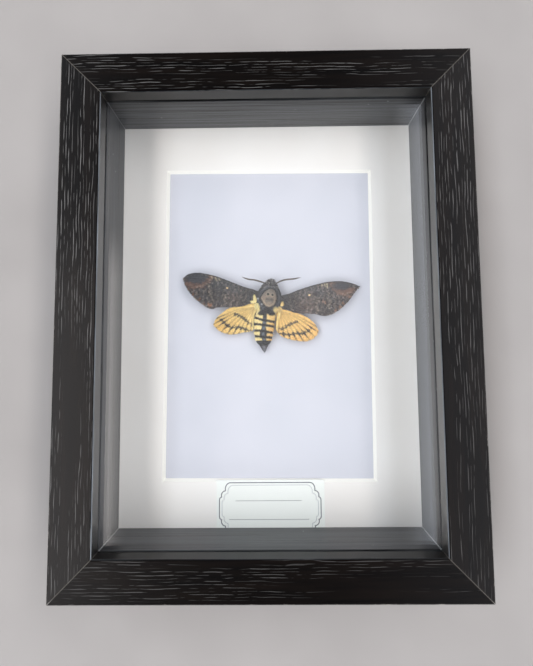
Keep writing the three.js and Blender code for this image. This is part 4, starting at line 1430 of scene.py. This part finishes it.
# Tufts
# Loose fans of long pale hair that cover the wing roots and the sides of the waist, and two
# small white flecks on the hood.
TUFT_YELLOW = "#F5E4A8"
TUFT_STRAW = "#F1D79C"
FLECK_WHITE = "#D9D9DC"
tufts = [
    # middle above the card, size of the root, combed along, colour, hair length
    ((-6.0, 8.9, 5.8), (1.3, 1.6, 0.4), (-0.15, 1.0, 0.1), TUFT_YELLOW, 1.5),
    ((-6.3, 10.4, 5.9), (0.7, 1.5, 0.4), (-0.1, 1.0, 0.12), TUFT_YELLOW, 1.2),
    ((-6.9, 8.4, 5.6), (1.6, 0.8, 0.4), (-0.8, 0.5, 0.1), TUFT_YELLOW, 1.2),
    ((-4.2, 7.0, 6.3), (1.7, 2.6, 1.0), (-0.2, -1.0, -0.1), TUFT_YELLOW, 1.4),
    ((-5.2, 7.2, 5.2), (1.4, 2.2, 0.8), (-0.6, -0.8, -0.1), TUFT_YELLOW, 1.3),
    ((6.8, 7.5, 5.8), (0.8, 1.1, 0.4), (0.3, 1.0, 0.14), TUFT_STRAW, 0.9),
    ((6.6, 6.9, 5.7), (1.3, 0.9, 0.4), (0.5, 0.8, 0.1), TUFT_STRAW, 1.0),
    ((4.6, 6.0, 6.0), (1.7, 2.0, 1.0), (0.2, -1.0, -0.1), TUFT_STRAW, 1.4),
    ((5.6, 5.6, 5.0), (1.4, 1.8, 0.6), (0.6, -0.8, -0.1), TUFT_STRAW, 1.2),
    ((-4.6, 10.2, 7.4), (0.4, 0.5, 0.4), (-0.3, -0.8, 0.2), FLECK_WHITE, 0.4),
    ((-2.8, 7.5, 8.2), (0.4, 0.4, 0.4), (0.1, -0.9, 0.2), FLECK_WHITE, 0.4),
]
for i, (middle, size, comb, colour, length) in enumerate(tufts):
    x, y, z = middle
    points, faces = oval((x, y, belly + z), size, rows=10, columns=16)
    core = furred(f"moth_tuft_{i + 1}", points, faces, colour, comb)
    scattered(f"moth_tuft_hair_{i + 1}", core, fur_scatter, body_material,
              seed=20 + i, density=70, length=length, width=0.06, lift=0.14, scatter=0.3)


# Antennae
# Short stiff rods of more than fifty rings, thickest past the middle and hooked at the thin tip,
# dark brown mottled with a paler brown.
ANTENNA_RINGS = 56
ANTENNA_DARK = "#352F2C"
ANTENNA_PALE = "#665A4E"
antenna_lines = {
    "antenna_left": [
        (-1.6, 17.9, 5.0), (-2.3, 18.2, 5.2), (-6.2, 19.3, 5.6), (-8.8, 19.6, 5.8), (-10.9, 20.2, 5.9),
        (-12.4, 20.9, 5.8),
    ],
    "antenna_right": [
        (4.2, 17.7, 5.0), (4.9, 18, 5.2), (6.1, 18.6, 5.4), (8.7, 19.3, 5.6), (12.4, 19.6, 5.8),
        (16, 20.3, 5.7),
    ],
}
antenna_material = mottled(
    "ringed_antenna", [(0.3, ANTENNA_DARK), (0.7, ANTENNA_PALE)], {"scale": 1.2, "detail": 3.0},
    relief=0.00004, strength=0.5, roughness=0.55, specular_ior_level=0.4,
)


def antenna_radius(t):
    """The radius at a share of the length, each ring a little wider at its outer end."""
    taper = 0.26 + 0.13 * math.sin(math.pi * min(1.0, t * 1.05)) ** 0.7
    ring_edge = 0.035 * ((t * ANTENNA_RINGS) % 1.0)
    return taper * (1 - 0.75 * max(0.0, t - 0.82) / 0.18) + ring_edge * (1 - t * 0.6)


for name, line in antenna_lines.items():
    raised = [(x, y, belly + height) for x, y, height in line]
    points, faces = limb(raised, antenna_radius, ANTENNA_RINGS * 4, 14)
    antenna = piece(name + "_rings", points, faces, antenna_material)
    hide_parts(name)


# Floor and light
# A plain pale floor under the frame. The room is dim overhead, where the glass and the moulding
# mirror it, with a tall soft window and a narrower strip on either side and a faint one between.
FLOOR_DARK = "#989694"
FLOOR_PALE = "#9E9C9A"
FLOOR_HALF = 1500
FLOOR_DROP = 0.2

floor_material = mottled(
    "pale_floor", [(0.3, FLOOR_DARK), (0.7, FLOOR_PALE)], {"stretch": (0.02, 0.02, 0.02)},
    roughness=0.9, specular_ior_level=0.2,
)
corners = [(x * FLOOR_HALF, y * FLOOR_HALF, -FLOOR_DROP) for x, y in ((-1, -1), (1, -1), (1, 1), (-1, 1))]
floor_mesh = bpy.data.meshes.new("floor")
floor_mesh.from_pydata(np.array(corners) / 1000, [], [(0, 1, 2, 3)])
floor_mesh.materials.append(floor_material)
floor = bpy.data.objects.new("floor", floor_mesh)
scene.collection.objects.link(floor)

ROOM_WHITE = "#F2F4FA"
ROOM_LEVEL = 0.34
# Each window's middle and half size on a ceiling one unit up, its softness, level and colour
ceiling_windows = [
    ((-0.62, 0.1), (0.14, 1.0), 0.08, 6.3, "#F5F8FF"),
    ((0.62, 0.0), (0.12, 1.0), 0.08, 7.1, "#FFF7F4"),
    ((0.378, 0.1), (0.08, 0.9), 0.06, 3.8, "#EFF3FF"),
    ((-0.42, -0.3), (0.08, 0.5), 0.06, 10.0, "#FFF7F4"),
    ((0.02, 0.08), (0.13, 0.36), 0.08, 0.85, "#FFF8F8"),
]
world = bpy.data.worlds.new("room")
scene.world = world
world.use_nodes = True
tree = world.node_tree
toward = put(tree, "ShaderNodeTexCoord", out="Generated")
rise = put(tree, "ShaderNodeSeparateXYZ", toward, out="Z")
above = put(tree, "ShaderNodeMath", rise, 0.02, operation="GREATER_THAN")
height = put(tree, "ShaderNodeCombineXYZ", rise, rise, rise)
ceiling = put(tree, "ShaderNodeVectorMath", toward, height, operation="DIVIDE")
light = put(tree, "ShaderNodeVectorMath", {
    0: linear(ROOM_WHITE)[:3], "Scale": ROOM_LEVEL,
}, operation="SCALE")
for middle, half, softness, level, hex_colour in ceiling_windows:
    offset = put(tree, "ShaderNodeVectorMath", ceiling, (*middle, 1), operation="SUBTRACT")
    unsigned = put(tree, "ShaderNodeVectorMath", offset, operation="ABSOLUTE")
    from_middle = put(tree, "ShaderNodeSeparateXYZ", unsigned, out="X").node
    glow = above
    for letter, limit in zip("XY", half):
        reach = from_middle.outputs[letter]
        limits = (limit - softness, limit + softness, 1.0, 0.0)
        inside = put(tree, "ShaderNodeMapRange", reach, *limits, interpolation_type="SMOOTHSTEP")
        glow = put(tree, "ShaderNodeMath", glow, inside, operation="MULTIPLY")
    strength = put(tree, "ShaderNodeMath", glow, level, operation="MULTIPLY")
    tint = put(tree, "ShaderNodeVectorMath", {
        0: linear(hex_colour)[:3], "Scale": strength,
    }, operation="SCALE")
    light = put(tree, "ShaderNodeVectorMath", light, tint, operation="ADD")
tree.links.new(light, tree.nodes["Background"].inputs["Color"])
scene.view_settings.view_transform = "Standard"
